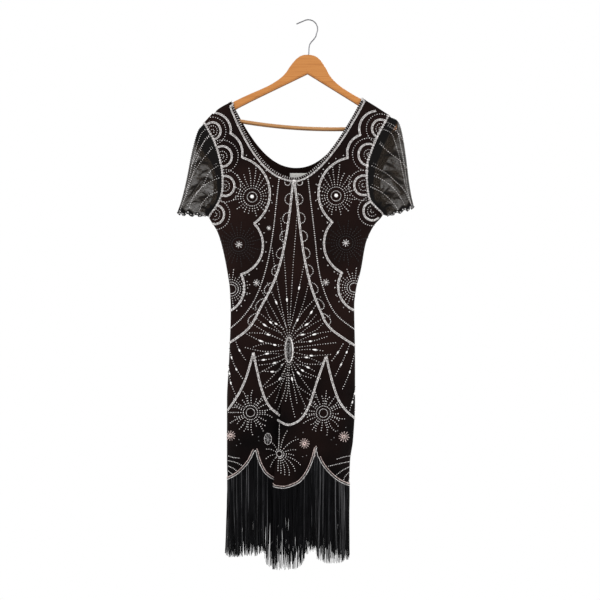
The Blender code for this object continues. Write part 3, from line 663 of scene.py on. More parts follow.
print("helpers ready")

# %% [markdown]
# ## Effects that several finishes share
# Three small node groups do most of the work. One is a weave of crossed threads, one is a
# set of long streaks for twisted yarn and wood grain, and one is a slow uneven tone that
# keeps any large surface from looking flat. Each material sets its own sizes on them.

# %% Node group helpers


def start_group(name, inputs, outputs):
    """An empty node group with named sockets, and its input and output nodes."""
    group = bpy.data.node_groups.new(name, "ShaderNodeTree")
    for label, value in inputs:
        socket = group.interface.new_socket(label, in_out="INPUT", socket_type="NodeSocketFloat")
        socket.default_value = value
    for label in outputs:
        group.interface.new_socket(label, in_out="OUTPUT", socket_type="NodeSocketFloat")
    return group, group.nodes.new("NodeGroupInput"), group.nodes.new("NodeGroupOutput")


def maths(tree, operation, first, second=None):
    """A Math node on two sockets or numbers."""
    node = tree.nodes.new("ShaderNodeMath")
    node.operation = operation
    for socket, value in zip(node.inputs, (first, second)):
        if value is None:
            continue
        if isinstance(value, (int, float)):
            socket.default_value = value
        else:
            tree.links.new(value, socket)
    return node.outputs[0]


def object_place(tree):
    """Where a point lies on its object."""
    return tree.nodes.new("ShaderNodeTexCoord").outputs["Object"]


def separate(tree, vector):
    """The x, y and z of a vector."""
    parts = tree.nodes.new("ShaderNodeSeparateXYZ")
    tree.links.new(vector, parts.inputs[0])
    return parts.outputs


print("node helpers ready")

# %% Weave group: crossed threads with a little slub
weave, weave_in, weave_out = start_group(
    "crossed_threads", [("Threads", 1600.0), ("Slub", 0.35)], ["Height", "Tone"])
where = object_place(weave)
parts = separate(weave, where)
turns = maths(weave, "MULTIPLY", weave_in.outputs["Threads"], 2 * math.pi)
warp = maths(weave, "SINE", maths(weave, "MULTIPLY", parts["X"], turns))
weft = maths(weave, "SINE", maths(weave, "MULTIPLY", parts["Z"], turns))
slub = weave.nodes.new("ShaderNodeTexNoise")
slub.inputs["Scale"].default_value = 420
slub.inputs["Detail"].default_value = 3
weave.links.new(where, slub.inputs["Vector"])
slub_part = maths(weave, "MULTIPLY", slub.outputs["Fac"], weave_in.outputs["Slub"])
threads_part = maths(weave, "MULTIPLY", maths(weave, "MULTIPLY", warp, weft), 0.25)
weave.links.new(maths(weave, "ADD", threads_part, slub_part), weave_out.inputs["Height"])
weave.links.new(slub.outputs["Fac"], weave_out.inputs["Tone"])
print("group", weave.name)

# %% Streak group: long thin streaks for yarn and grain
streaks, streaks_in, streaks_out = start_group(
    "long_streaks", [("Along X", 10.0), ("Along Y", 200.0), ("Along Z", 200.0),
                     ("Wander", 0.5)], ["Streak"])
parts = separate(streaks, object_place(streaks))
stretch = streaks.nodes.new("ShaderNodeCombineXYZ")
for axis in "XYZ":
    stretched = maths(streaks, "MULTIPLY", parts[axis], streaks_in.outputs["Along " + axis])
    streaks.links.new(stretched, stretch.inputs[axis])
streak_noise = streaks.nodes.new("ShaderNodeTexNoise")
streak_noise.inputs["Scale"].default_value = 1.0
streak_noise.inputs["Detail"].default_value = 4
streaks.links.new(stretch.outputs[0], streak_noise.inputs["Vector"])
streaks.links.new(streaks_in.outputs["Wander"], streak_noise.inputs["Distortion"])
streaks.links.new(streak_noise.outputs["Fac"], streaks_out.inputs["Streak"])
print("group", streaks.name)

# %% Slow tone group: a soft unevenness over a hand's width
slow_tone, tone_in, tone_out = start_group("slow_tone", [("Patches", 9.0)], ["Tone"])
patches = slow_tone.nodes.new("ShaderNodeTexNoise")
patches.inputs["Detail"].default_value = 2
slow_tone.links.new(object_place(slow_tone), patches.inputs["Vector"])
slow_tone.links.new(tone_in.outputs["Patches"], patches.inputs["Scale"])
slow_tone.links.new(patches.outputs["Fac"], tone_out.inputs["Tone"])
print("group", slow_tone.name)

# %% Material helpers


def use_group(tree, group, **values):
    """A group node in a material, with its own input values."""
    node = tree.nodes.new("ShaderNodeGroup")
    node.node_tree = group
    for label, value in values.items():
        node.inputs[label.replace("_", " ")].default_value = value
    return node


def two_tones(tree, value, dark, light, low=0.3, high=0.7):
    """A colour between two, by a value that is first spread from low to high."""
    ramp = tree.nodes.new("ShaderNodeValToRGB")
    ramp.color_ramp.elements[0].position = low
    ramp.color_ramp.elements[0].color = (*dark, 1)
    ramp.color_ramp.elements[1].position = high
    ramp.color_ramp.elements[1].color = (*light, 1)
    tree.links.new(value, ramp.inputs[0])
    return ramp.outputs["Color"]


def spread(tree, value, low, high, in_low=0.3, in_high=0.7):
    """A value moved from one range to another."""
    node = tree.nodes.new("ShaderNodeMapRange")
    node.inputs["From Min"].default_value = in_low
    node.inputs["From Max"].default_value = in_high
    node.inputs["To Min"].default_value = low
    node.inputs["To Max"].default_value = high
    tree.links.new(value, node.inputs["Value"])
    return node.outputs["Result"]


def bump_from(tree, height, distance):
    """A normal bent by a height, at full strength."""
    node = tree.nodes.new("ShaderNodeBump")
    node.inputs["Distance"].default_value = distance
    node.inputs["Strength"].default_value = 1.0
    tree.links.new(height, node.inputs["Height"])
    return node.outputs["Normal"]


def start_finish(name, **settings):
    """A new material, its node tree and its Principled shader, with uniform values set."""
    finish = bpy.data.materials.new(name)
    finish.use_nodes = True
    shader = finish.node_tree.nodes["Principled BSDF"]
    for label, value in settings.items():
        shader.inputs[label.replace("_", " ")].default_value = value
    return finish, finish.node_tree, shader


def link_inputs(tree, shader, **outputs):
    """Outputs linked to the shader's inputs of the same names."""
    for label, output in outputs.items():
        tree.links.new(output, shader.inputs[label.replace("_", " ")])


print("material helpers ready")

# %% [markdown]
# ## Hanger
# The hanger keeps the shape of the solids. Its arch is a warm varnished wood with grain
# along its length, the bar a paler dowel, and the hook a plain drawn wire.

# %% Wood and wire
UNDERSIDE_SHADE = 0.45
WOODS = (
    ("hanger_arch", "varnished_wood", (0.44, 0.166, 0.038), (0.50, 0.205, 0.052), 9.0),
    ("hanger_bar", "pale_dowel", (0.36, 0.170, 0.058), (0.45, 0.235, 0.092), 12.0))


def wood_finish(name, dark, light, along):
    """Varnished wood with its grain along x, with a painted shade on faces that look down."""
    finish, tree, shader = start_finish(name, Specular_IOR_Level=0.25)
    grain = use_group(tree, streaks, Along_X=along, Along_Y=260.0, Along_Z=260.0, Wander=0.9)
    streak = grain.outputs["Streak"]
    facing = tree.nodes.new("ShaderNodeNewGeometry").outputs["True Normal"]
    # Painted shade: the faces that look down get a darker brown.
    under = spread(tree, separate(tree, facing)["Z"], 0.5, 0.0, -0.7, -0.3)
    shade = maths(tree, "SUBTRACT", streak, under)
    tones = two_tones(tree, shade, dark, light, 0.34, 0.62)
    brown = [value * UNDERSIDE_SHADE for value in dark]
    tones.node.color_ramp.elements.new(0.0).color = (*brown, 1)
    link_inputs(tree, shader, Base_Color=tones, Roughness=spread(tree, streak, 0.5, 0.36),
                Normal=bump_from(tree, streak, 0.12 * MM))
    return finish


def repaint(name, finish):
    """Gives a solid of the frame a new finish in every material slot."""
    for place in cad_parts[name].material_slots:
        place.material = finish


for node, *look in WOODS:
    repaint(node, wood_finish(*look))
wire, tree, shader = start_finish("drawn_wire", Metallic=1.0, Specular_IOR_Level=0.5)
drawn = use_group(tree, streaks, Along_X=900.0, Along_Y=900.0, Along_Z=60.0, Wander=0.2)
streak = drawn.outputs["Streak"]
link_inputs(tree, shader, Roughness=spread(tree, streak, 0.28, 0.46),
            Base_Color=two_tones(tree, streak, (0.09, 0.09, 0.10), (0.26, 0.26, 0.27)))
repaint("hanger_hook", wire)
print("hanger finishes ready")

# %% [markdown]
# ## Black crepe
# The dress is a soft matt black crepe. It isn't one flat black: slow patches of it are a
# warm brown-black, and a painted shade makes the cloth darker towards the hem. The weave
# is too fine to count from a step away, but it takes the shine off the folds.

# %% Crepe material
crepe, tree, shader = start_finish("black_crepe", Roughness=0.8, Specular_IOR_Level=0.05)
threads = use_group(tree, weave, Threads=1500.0, Slub=0.5)
tone = use_group(tree, slow_tone, Patches=7.0)
# Painted shade: the colour grows darker towards the hem.
painted_shade_low = spread(tree, separate(tree, object_place(tree))["Z"], 0.0, 0.3, -0.75, -1.0)
tone_and_shade = maths(tree, "SUBTRACT", tone.outputs["Tone"], painted_shade_low)
link_inputs(
    tree, shader,
    Base_Color=two_tones(tree, tone_and_shade, (0.0012, 0.0009, 0.0010), (0.0125, 0.0056, 0.0046),
                         0.1, 0.62),
    Roughness=spread(tree, threads.outputs["Tone"], 0.7, 0.92),
    Normal=bump_from(tree, threads.outputs["Height"], 0.25 * MM))
print(crepe.name)

# %% [markdown]
# ## Front and back of the dress
# Each panel is one sheet from the shoulder to the hem, with a real thickness added by a
# Solidify modifier, so that the edge of the neck shows as an edge. It takes the place of
# the plain panel of the solids.

# %% The two panels
CLOTH = 1.3 * MM


def grid_area(points):
    """Area of a grid of points, as the sum of its triangles."""
    total = 0.0
    for upper, lower in zip(points, points[1:]):
        for a, b, c, d in zip(upper, upper[1:], lower, lower[1:]):
            total += (b - a).cross(c - a).length / 2 + (d - b).cross(c - b).length / 2
    return total


def row_length(points):
    return sum((b - a).length for a, b in zip(points, points[1:]))


def way_round(points):
    """Length of a row without its rises and falls."""
    return sum((b.xy - a.xy).length for a, b in zip(points, points[1:]))


panel_pieces = {}
for side, name in EDGE_NAME.items():
    points = panels[side]
    count = len(points[0])
    faces = grid_faces(len(points), count)
    if side == BACK:
        faces = [face[::-1] for face in faces]
    panel = place_mesh("cloth_" + name, [p for row in points for p in row], faces, crepe)
    thick = panel.modifiers.new("cloth_thickness", "SOLIDIFY")
    thick.thickness = CLOTH
    thick.offset = -1
    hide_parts("dress_" + name)
    panel_pieces[side] = panel
    widest = max(way_round(row) for row in points)
    tallest = max(row_length([row[c] for row in points]) for c in range(0, count, 6))
    area = grid_area(points)
    print(panel.name, "cut", round(widest, 3), "by", round(tallest, 3), "area", round(area, 4),
          "triangles", triangles_in(panel))

# %% [markdown]
# ## Sheer sleeves
# Each sleeve is one layer of black net, open at both ends. It lets part of the light
# through, and the front and back layers look darker where they lie over each other. The
# net's threads are an alpha pattern, closed a little more in slow patches and wrinkles, and
# most of all where the net is gathered: at creases, armhole, underarm and cuff.

# %% Net material
net, tree, shader = start_finish("black_net", Roughness=0.75, Specular_IOR_Level=0.1)
threads = use_group(tree, weave, Threads=900.0, Slub=0.4)
tone = use_group(tree, slow_tone, Patches=26.0)
gathered = tree.nodes.new("ShaderNodeAttribute")
gathered.attribute_name = "gathered"
wrinkles = use_group(tree, streaks, Along_X=60.0, Along_Y=60.0, Along_Z=170.0, Wander=1.6)
closed_part = spread(tree, threads.outputs["Height"], 0.30, 0.54, 0.0, 0.4)
patch_part = maths(tree, "ADD", spread(tree, tone.outputs["Tone"], -0.05, 0.12),
                   spread(tree, wrinkles.outputs["Streak"], 0.0, 0.36, 0.5, 0.7))
cover = maths(tree, "ADD", closed_part, patch_part)
full_cover = maths(tree, "ADD", cover, gathered.outputs["Fac"])
link_inputs(tree, shader, Alpha=maths(tree, "MINIMUM", full_cover, 1.0),
            Base_Color=two_tones(tree, gathered.outputs["Fac"], (0.024, 0.018, 0.013),
                                 (0.0025, 0.0020, 0.0020), 0.15, 0.85))
print(net.name)

# %% Tables of the sleeves, as on the solids
LEFT_SLEEVE_EDGE = table(
    "along x height",
    (0, -254, -252), (60, -265, -264), (160, -273, -286), (360, -283, -327),
    (600, -292, -375), (800, -302, -420), (1000, -315, -465))
RIGHT_SLEEVE_EDGE = table(
    "along x height",
    (0, 197, -234), (70, 213, -241), (130, 221, -253), (270, 228, -283),
    (500, 236, -335), (750, 243, -394), (1000, 253, -451))
LEFT_CUFF = {"middle": (-282, -470), "half_width": 33, "half_depth": 25, "lean": 3}
RIGHT_CUFF = {"middle": (222, -463), "half_width": 31, "half_depth": 25, "lean": 10}
CUFF_WAVES = 5
CUFF_WAVE = 4 * MM
CAP_SPREAD = 0.6
SLEEVE_ROWS = 52
ROW_CROWDING = 1.25
LOOP_STEPS = 44
FRILL_WAVES = 17
FRILL_WAVE = 1.8 * MM
FRILL_FROM = 0.9
FAST_TO = 0.04
FOLLOWED_PART = 0.6
GATHERED_BAND = 8
GATHERED_CREASE = 0.7
CUFF_BAND = 94

# Creases of a sleeve: from (round, along) to (round, along), in hundredths; round is 0 at
# the underarm, 25 at the front, 50 at the top and 75 at the back
SLEEVE_CREASES = table(
    "round_a along_a round_b along_b half_width out",
    (10, 20, 34, 92, 2.2, 3.0), (18, 4, 42, 70, 1.9, -2.6), (26, 2, 47, 46, 1.8, 2.6),
    (6, 46, 22, 98, 2.4, -3.0), (30, 30, 44, 98, 1.8, 2.2), (14, 55, 30, 74, 1.6, 2.4),
    (4, 12, 16, 60, 1.7, 2.0), (22, 24, 36, 60, 1.4, -1.8), (36, 10, 48, 62, 1.4, 1.8),
    (20, 66, 40, 96, 1.5, -1.8), (9, 24, 27, 50, 1.2, 1.2), (12, 36, 33, 66, 1.2, -1.2),
    (8, 58, 26, 90, 1.2, 1.2), (28, 14, 40, 52, 1.2, 1.2), (32, 44, 46, 84, 1.2, -1.2),
    (92, 18, 68, 90, 2.2, 3.0), (82, 4, 58, 64, 1.9, -2.6), (96, 50, 80, 97, 2.2, 2.6),
    (74, 24, 60, 95, 1.8, -2.2), (88, 60, 72, 70, 1.7, 2.4), (97, 14, 84, 55, 1.6, -2.0),
    (66, 12, 54, 60, 1.4, 1.8), (90, 30, 70, 54, 1.2, 1.2), (86, 40, 66, 76, 1.2, -1.2))


def even_steps(points, count):
    """The same line with points at even distances."""
    lengths = [0.0]
    for a, b in zip(points, points[1:]):
        lengths.append(lengths[-1] + (b - a).length)
    stepped = []
    i = 0
    for k in range(count + 1):
        target = lengths[-1] * k / count
        while i < len(points) - 2 and lengths[i + 1] < target:
            i += 1
        span = max(1e-9, lengths[i + 1] - lengths[i])
        stepped.append(points[i].lerp(points[i + 1], (target - lengths[i]) / span))
    return stepped


def armhole_loop(at_right):
    """Points round an armhole: up the front, over the shoulder and down the back."""
    column = -1 if at_right else 0
    front_edge = [row[column] for row in panels[FRONT][:UNDERARM_ROW + 1]][::-1]
    back_edge = [row[column] for row in panels[BACK][:UNDERARM_ROW + 1]]
    front_half = even_steps(front_edge, LOOP_STEPS)
    back_half = even_steps(back_edge, LOOP_STEPS)
    top = (front_half[-1] + back_half[0]) / 2
    underarm = (front_half[0] + back_half[-1]) / 2
    return [underarm] + front_half[1:-1] + [top] + back_half[1:-1]


def spread_ends(share):
    """A share from 0 to 1 that leaves both of its ends fast."""
    if share <= 0.5:
        return 0.5 * (2 * share) ** CAP_SPREAD
    return 1 - 0.5 * (2 * (1 - share)) ** CAP_SPREAD


def sleeve_crease(turn, along):
    """How far the small creases lift the net, and how much they gather it, at one place."""
    out = 0.0
    gather = 0.0
    for ra, aa, rb, ab, half_width, size in zip(*SLEEVE_CREASES.values()):
        run = math.hypot(rb - ra, ab - aa)
        way = ((turn - ra) * (rb - ra) + (along - aa) * (ab - aa)) / run
        if 0 < way < run:
            across = abs((turn - ra) * (ab - aa) - (along - aa) * (rb - ra)) / run
            ridge = math.exp(-(across / half_width) ** 2) * math.sin(math.pi * way / run)
            out += size * MM * ridge
            gather = max(gather, ridge ** 3)
    return out, gather


def gathered_at(turn, along, widening):
    """How much of the net is closed: at creases, by the armhole and at the underarm."""
    half_turn = min(turn, 100 - turn)
    band = GATHERED_BAND + widening * smooth((half_turn - 28) / 14)
    armhole = 1 - smooth((along - band) / 5)
    underarm = (1 - smooth((half_turn - 5) / 9)) * (1 - smooth((along - 55) / 30))
    cuff = smooth((along - CUFF_BAND) / 3)
    crease = sleeve_crease(turn, along)[1]
    return min(1.0, GATHERED_CREASE * crease + armhole + underarm + cuff)


def clear_of_wood(point):
    """The same point, moved out if it would lie against the end of the hanger."""
    inside = WOOD_LINE[0][0] < point.x < WOOD_LINE[-1][0] + 4 * MM
    if inside and abs(point.y) < WRAP_RADIUS and point.z < on_line(WOOD_LINE, point.x):
        return Vector((point.x, math.copysign(WRAP_RADIUS, point.y), point.z))
    return point


def row_share(row):
    """How far down the sleeve a row lies; rows are closer together at the armhole."""
    return (row / SLEEVE_ROWS) ** ROW_CROWDING


def sleeve_grid(at_right):
    """Rows of a sleeve from the armhole to the frilled cuff."""
    edge = RIGHT_SLEEVE_EDGE if at_right else LEFT_SLEEVE_EDGE
    cuff = RIGHT_CUFF if at_right else LEFT_CUFF
    starts = armhole_loop(at_right)
    sign = 1 if at_right else -1
    middle_x, middle_z = (value * MM for value in cuff["middle"])
    edge_end = Vector((edge["x"][-1] * MM, 0, edge["height"][-1] * MM))
    grid = []
    for r in range(SLEEVE_ROWS + 1):
        share = row_share(r)
        frill = smooth((share - FRILL_FROM) / 0.1)
        line = starts[LOOP_STEPS].lerp(edge_end, share)
        shift = Vector((read_row(edge, "along", "x", share) - line.x, 0,
                        read_row(edge, "along", "height", share) - line.z))
        shift *= smooth(share / FAST_TO)
        row = []
        for c, start in enumerate(starts):
            if c <= LOOP_STEPS:
                from_top = 1 - c / LOOP_STEPS
                side = FRONT
            else:
                from_top = c / LOOP_STEPS - 1
                side = BACK
            angle = math.pi * spread_ends(from_top)
            weight = (1 + math.cos(angle)) / 2
            wave = math.cos(CUFF_WAVES * 2 * angle + side) * CUFF_WAVE * math.sqrt(weight)
            ripple = math.sin(FRILL_WAVES * angle * side + 0.6) * FRILL_WAVE * frill
            reach_x = cuff["half_width"] * MM + wave * 0.5 + ripple
            reach_y = cuff["half_depth"] * MM + wave * 0.5 + ripple
            end = Vector((middle_x + sign * reach_x * math.cos(angle),
                          side * reach_y * math.sin(angle),
                          middle_z + cuff["lean"] * MM * math.cos(angle) + wave))
            follow = 1 - FOLLOWED_PART * share * (1 - weight)
            row.append(start.lerp(end, share) + shift * weight * follow)
        grid.append(row)
    creased = []
    for r, row in enumerate(grid):
        share = row_share(r)
        fade = smooth(share / 0.12) * (1 - smooth((share - 0.93) / 0.07))
        line = []
        for c, point in enumerate(row):
            around = row[(c + 1) % len(row)] - row[c - 1]
            down = grid[min(r + 1, SLEEVE_ROWS)][c] - grid[max(r - 1, 0)][c]
            out = (sign * down.cross(around)).normalized()
            lift = sleeve_crease(100 * c / len(row), 100 * share)[0]
            line.append(clear_of_wood(point + out * lift * fade))
        creased.append(line)
    return creased


sleeves = {"left": sleeve_grid(False), "right": sleeve_grid(True)}
for name, rows in sleeves.items():
    print("sleeve", name, len(rows), "rows of", len(rows[0]))

# %% The two sleeves
SLEEVE_COVER = {"left": 0.19, "right": 0.25}
BAND_WIDENING = {"left": 6, "right": -2}
THINNER_OVER_TIP = {"left": 0.0, "right": 0.45}
TIP_TURN = 45
TIP_ALONG = 12


def over_the_tip(turn, along):
    """How near a place of a sleeve's front is to the tip of the hanger under it."""
    return math.exp(-((turn - TIP_TURN) / 5) ** 2 - ((along - TIP_ALONG) / 4) ** 2)


for name, rows in sleeves.items():
    count = len(rows[0])
    sleeve = place_mesh("net_sleeve_" + name, [p for row in rows for p in row],
                        grid_faces(len(rows), count, closed=True), net)
    values = []
    for r in range(len(rows)):
        along = 100 * row_share(r)
        for c in range(count):
            turn = 100 * c / count
            thinner = THINNER_OVER_TIP[name] * over_the_tip(turn, along)
            values.append(gathered_at(turn, along, BAND_WIDENING[name])
                          + SLEEVE_COVER[name] - thinner)
    attribute = sleeve.data.attributes.new("gathered", "FLOAT", "POINT")
    attribute.data.foreach_set("value", values)
    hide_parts("sleeve_" + name)
    rounds = [row_length(row + row[:1]) for row in rows[SLEEVE_ROWS // 3:]]
    drop = row_length([row[LOOP_STEPS] for row in rows])
    area = grid_area([row + row[:1] for row in rows])
    print(sleeve.name, "round", round(max(rounds), 3), "long", round(drop, 3),
          "area", round(area, 4), "triangles", triangles_in(sleeve))

# %% [markdown]
# ## Fringe
# A fringe is hundreds of loose yarn ends that all hang from the hem. They are built as thin
# three-sided strands in two staggered rows for each panel. Neighbours lean together, as
# strands that cling do, and their ends are uneven. Some strands of the outer row, more of
# them near the sides, are glossier and carry a painted highlight in a lighter colour. All
# strands of one panel are one mesh.

# %% Fringe yarn
yarn, tree, shader = start_finish("fringe_thread", Specular_IOR_Level=0.08, Roughness=0.5)
twist = use_group(tree, streaks, Along_X=500.0, Along_Y=500.0, Along_Z=9.0, Wander=0.3)
streak = twist.outputs["Streak"]
link_inputs(tree, shader, Roughness=spread(tree, streak, 0.38, 0.62),
            Base_Color=two_tones(tree, streak, (0.0007, 0.0007, 0.0012),
                                 (0.012, 0.012, 0.014), 0.46, 0.74))
# A glossier yarn whose lighter colour is a painted highlight.
glossy_painted_glint_yarn, tree, shader = start_finish("glossy_painted_glint_thread", Specular_IOR_Level=0.4, Roughness=0.35)
twist = use_group(tree, streaks, Along_X=500.0, Along_Y=500.0, Along_Z=5.0, Wander=0.1)
link_inputs(tree, shader,
            Base_Color=two_tones(tree, twist.outputs["Streak"], (0.008, 0.008, 0.010),
                                 (0.110, 0.110, 0.116), 0.40, 0.66))
print(yarn.name, "and", glossy_painted_glint_yarn.name)

# %% Strands
STRAND_RADIUS = 0.88 * MM
STRAND_SPACING = 1.62 * MM
STRAND_SEGMENTS = 7
ROOT_ABOVE_HEM = 2 * MM
LONGEST = 1.012
UNEVENNESS = 0.11
SLIT_PULL = 2.4 * MM
FRINGE_ENDS = {
    FRONT: table("along end", (0, -1292), (136, -1285), (180, -1283), (240, -1283),
                 (300, -1275), (330, -1271), (353, -1304), (403, -1314), (528, -1315),
                 (553, -1309), (590, -1296), (605, -1283), (648, -1261), (738, -1272),
                 (783, -1290), (845, -1302), (918, -1302), (1000, -1300)),
    BACK: table("along end", (0, -1298), (90, -1304), (180, -1290), (250, -1278), (330, -1286),
                (420, -1306), (520, -1312), (620, -1297), (750, -1280), (830, -1292),
                (920, -1300), (1000, -1294))}
SLITS = ((0.452, 0.006), (0.700, 0.008), (0.742, 0.006))
PAINTED_GLINT_SHARE = 0.05
PAINTED_GLINT_MORE_AT_SIDES = 0.22
dice = random.Random(7)


def lean_at(place, side):
    """Sideways lean of the strand ends, shared by neighbours."""
    return (math.sin(place * 31 + side) * 3.2 + math.sin(place * 73 + 2 * side) * 1.9) * MM


def add_strand(points, faces, root, lean, sway, length, side, number):
    """One three-sided strand, added to the corners and faces of its panel's fringe."""
    first = len(points)
    for s in range(STRAND_SEGMENTS + 1):
        t = s / STRAND_SEGMENTS
        radius = STRAND_RADIUS * (1 - 0.4 * t ** 3)
        middle = root + Vector((lean * t ** 1.5 + sway * math.sin(5 * t + number),
                                side * sway * t * 0.6, -length * t))
        for corner in range(3):
            angle = 2 * math.pi * corner / 3 + 1.3 * t + number
            points.append(middle + Vector((math.cos(angle), math.sin(angle), 0)) * radius)
    for s in range(STRAND_SEGMENTS):
        for corner in range(3):
            a = first + s * 3 + corner
            b = first + s * 3 + (corner + 1) % 3
            faces.append((a, b, b + 3, a + 3))
    end = first + STRAND_SEGMENTS * 3
    faces.append((end, end + 1, end + 2))


for side, name in EDGE_NAME.items():
    hem = panels[side][-1]
    count = round(row_length(hem) / STRAND_SPACING)
    roots = even_steps(hem, count)
    points = []
    faces = []
    glossy = []
    for layer in (0, 1):
        for k in range(count):
            place = (k + 0.5 * layer + dice.uniform(-0.2, 0.2)) / count
            place = min(0.9995, max(0.0005, place))
            spot = place * count
            i = min(count - 1, int(spot))
            root = roots[i].lerp(roots[i + 1], spot - i)
            inward = (0.9 - layer * 1.5) * MM
            root = root + Vector((0, -side * inward, ROOT_ABOVE_HEM))
            length = root.z - read_row(FRINGE_ENDS[side], "along", "end", place)
            length *= LONGEST - UNEVENNESS * dice.random() ** 1.6
            lean = lean_at(place, side) + dice.uniform(-1.6, 1.6) * MM
            for slit, half_width in SLITS:
                if abs(place - slit) < half_width:
                    lean += math.copysign(SLIT_PULL, place - slit)
            sway = dice.uniform(-1.2, 1.2) * MM
            start_face = len(faces)
            add_strand(points, faces, root, lean, sway, length, side, k)
            # Painted highlight: some outer strands, more near the sides, take the lighter glossy
            # yarn.
            painted_glint_share = PAINTED_GLINT_SHARE + PAINTED_GLINT_MORE_AT_SIDES * abs(2 * place - 1) ** 3
            if layer == 1 and dice.random() < painted_glint_share:
                glossy += range(start_face, len(faces))
    strands = place_mesh("fringe_strands_" + name, points, faces, yarn)
    strands.data.materials.append(glossy_painted_glint_yarn)
    for face in glossy:
        strands.data.polygons[face].material_index = 1
    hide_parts("fringe_" + name)
    print(strands.name, 2 * count, "strands,", triangles_in(strands), "triangles")

# %% [markdown]
# ## Beads
# The whole dress is covered with rows of small silver-lined glass beads, sewn in old
# fan, scallop and sunburst patterns. Modelling each bead as its own object would be far too
# slow, so every bead is a copy of one twenty-sided ball, stretched and turned in an array
# of numbers, and all the beads of a group are joined into one mesh.
#
# The patterns are drawn as arcs, rays and soft curves in the picture's own pixels, and each
# place is then carried along its line of sight on to the cloth. So a row of beads follows
# the folds, and keeps an even step along the real surface.

# %% Where a line of sight meets the cloth
cloth_trees = {}
for side in (FRONT, BACK):
    rows = panels[side]
    faces = grid_faces(len(rows), len(rows[0]))
    if side == BACK:
        faces = [face[::-1] for face in faces]
    cloth_trees[side] = BVHTree.FromPolygons([p for row in rows for p in row], faces)


def on_cloth(place, side, tree=None):
    """Point and normal of a panel, or a sleeve, where the picture shows a place, or None."""
    start = Vector((eye.x, side * CAMERA_AWAY, eye.z))
    seen = Vector(((place[0] - HOOK_PIXEL[0]) * PIXEL, 0, (HOOK_PIXEL[1] - place[1]) * PIXEL))
    tree = tree or cloth_trees[side]
    point, normal = tree.ray_cast(start, (seen - start).normalized())[:2]
    if point is None:
        return None
    return point, normal * (1 if normal.y * side > 0 else -1)


print("middle of the chest:", on_cloth((293, 200), FRONT)[0])

# %% [markdown]
# ## Label and centre back seam
# A small plain woven label is sewn inside the back of the neck. The seam that joins the
# two halves of the back shows above and below it as a pressed ridge. Both take their place
# from the back cloth itself.

# %% Woven label
LABEL_COLUMNS = 24
LABEL_ROWS = 9
LABEL_THICKNESS = 0.3 * MM
label_cloth, tree, shader = start_finish("label_satin", Roughness=0.6, Specular_IOR_Level=0.3)
threads = use_group(tree, weave, Threads=1100.0, Slub=0.3)
link_inputs(
    tree, shader,
    Base_Color=two_tones(tree, threads.outputs["Tone"], (0.62, 0.61, 0.58), (0.84, 0.83, 0.80)),
    Normal=bump_from(tree, threads.outputs["Height"], 0.1 * MM))


def inside_back(x, height, lift):
    """A point just off the inner face of the back cloth."""
    point = cloth_trees[BACK].ray_cast(Vector((x, 0, height)), Vector((0, 1, 0)))[0]
    return point - Vector((0, CLOTH + lift, 0))


plain_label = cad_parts["label"]
corners = [plain_label.matrix_world @ Vector(corner) for corner in plain_label.bound_box]
label_left, label_right = min(p.x for p in corners), max(p.x for p in corners)
label_low, label_high = min(p.z for p in corners), max(p.z for p in corners)
points = []
for r in range(LABEL_ROWS + 1):
    for c in range(LABEL_COLUMNS + 1):
        x = mix(label_left, label_right, c / LABEL_COLUMNS)
        height = mix(label_high, label_low, r / LABEL_ROWS)
        belly = math.sin(math.pi * c / LABEL_COLUMNS) * math.sin(math.pi * r / LABEL_ROWS)
        points.append(inside_back(x, height, (0.35 + 0.5 * belly) * MM))
faces = grid_faces(LABEL_ROWS + 1, LABEL_COLUMNS + 1)
label = place_mesh("woven_label", points, faces, label_cloth)
thick = label.modifiers.new("label_thickness", "SOLIDIFY")
thick.thickness = LABEL_THICKNESS
thick.offset = 0
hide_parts("label")
print(label.name, round(label_right - label_left, 4), "by", round(label_high - label_low, 4))

# %% Centre back seam
SEAM_X = (301 - HOOK_PIXEL[0]) * PIXEL
SEAM_ROWS = 160
SEAM_PROFILE = ((-1.1, 0.05), (-0.45, 0.4), (0.0, 0.15), (0.45, 0.4), (1.1, 0.05))
SEAM_TOP = neck_height(BACK, SEAM_X) - 4 * MM
SEAM_LOW = HEM_PEAK - 60 * MM
OUTER_LIFT = 0.45 * MM
points = []
for r in range(SEAM_ROWS + 1):
    height = mix(SEAM_TOP, SEAM_LOW, r / SEAM_ROWS)
    for across, lift in SEAM_PROFILE:
        points.append(inside_back(SEAM_X + across * MM, height, lift * MM))
faces = grid_faces(SEAM_ROWS + 1, len(SEAM_PROFILE))
seam = place_mesh("back_seam_inside", points, faces, crepe)
outer = [point + Vector((0, CLOTH + OUTER_LIFT, 0)) for point in points]
outer_seam = place_mesh("back_seam_outside", outer, faces, crepe)
print(seam.name, "and", outer_seam.name, triangles_in(seam), "triangles each")

# %% Lines of the patterns, in pixels of the picture


def turn_point(middle, radius, degrees, squash=1.0):
    """A point of a circle or a tall oval; 0 degrees is up and the angle runs clockwise."""
    angle = math.radians(degrees)
    return (middle[0] + radius * squash * math.sin(angle), middle[1] - radius * math.cos(angle))


def arc_through(start, over, end, steps=40):
    """Points of the circle's arc that runs from start over one point to the end."""
    ax, ay, bx, by, cx, cy = *start, *over, *end
    d = 2 * (ax * (by - cy) + bx * (cy - ay) + cx * (ay - by))
    a2, b2, c2 = ax * ax + ay * ay, bx * bx + by * by, cx * cx + cy * cy
    ux = (a2 * (by - cy) + b2 * (cy - ay) + c2 * (ay - by)) / d
    uy = (a2 * (cx - bx) + b2 * (ax - cx) + c2 * (bx - ax)) / d
    radius = math.dist((ux, uy), start)
    first, middle, last = (math.atan2(y - uy, x - ux) for x, y in (start, over, end))
    way = (last - first) % (2 * math.pi)
    if (middle - first) % (2 * math.pi) > way:
        way -= 2 * math.pi
    return [(ux + radius * math.cos(first + way * i / steps),
             uy + radius * math.sin(first + way * i / steps)) for i in range(steps + 1)]


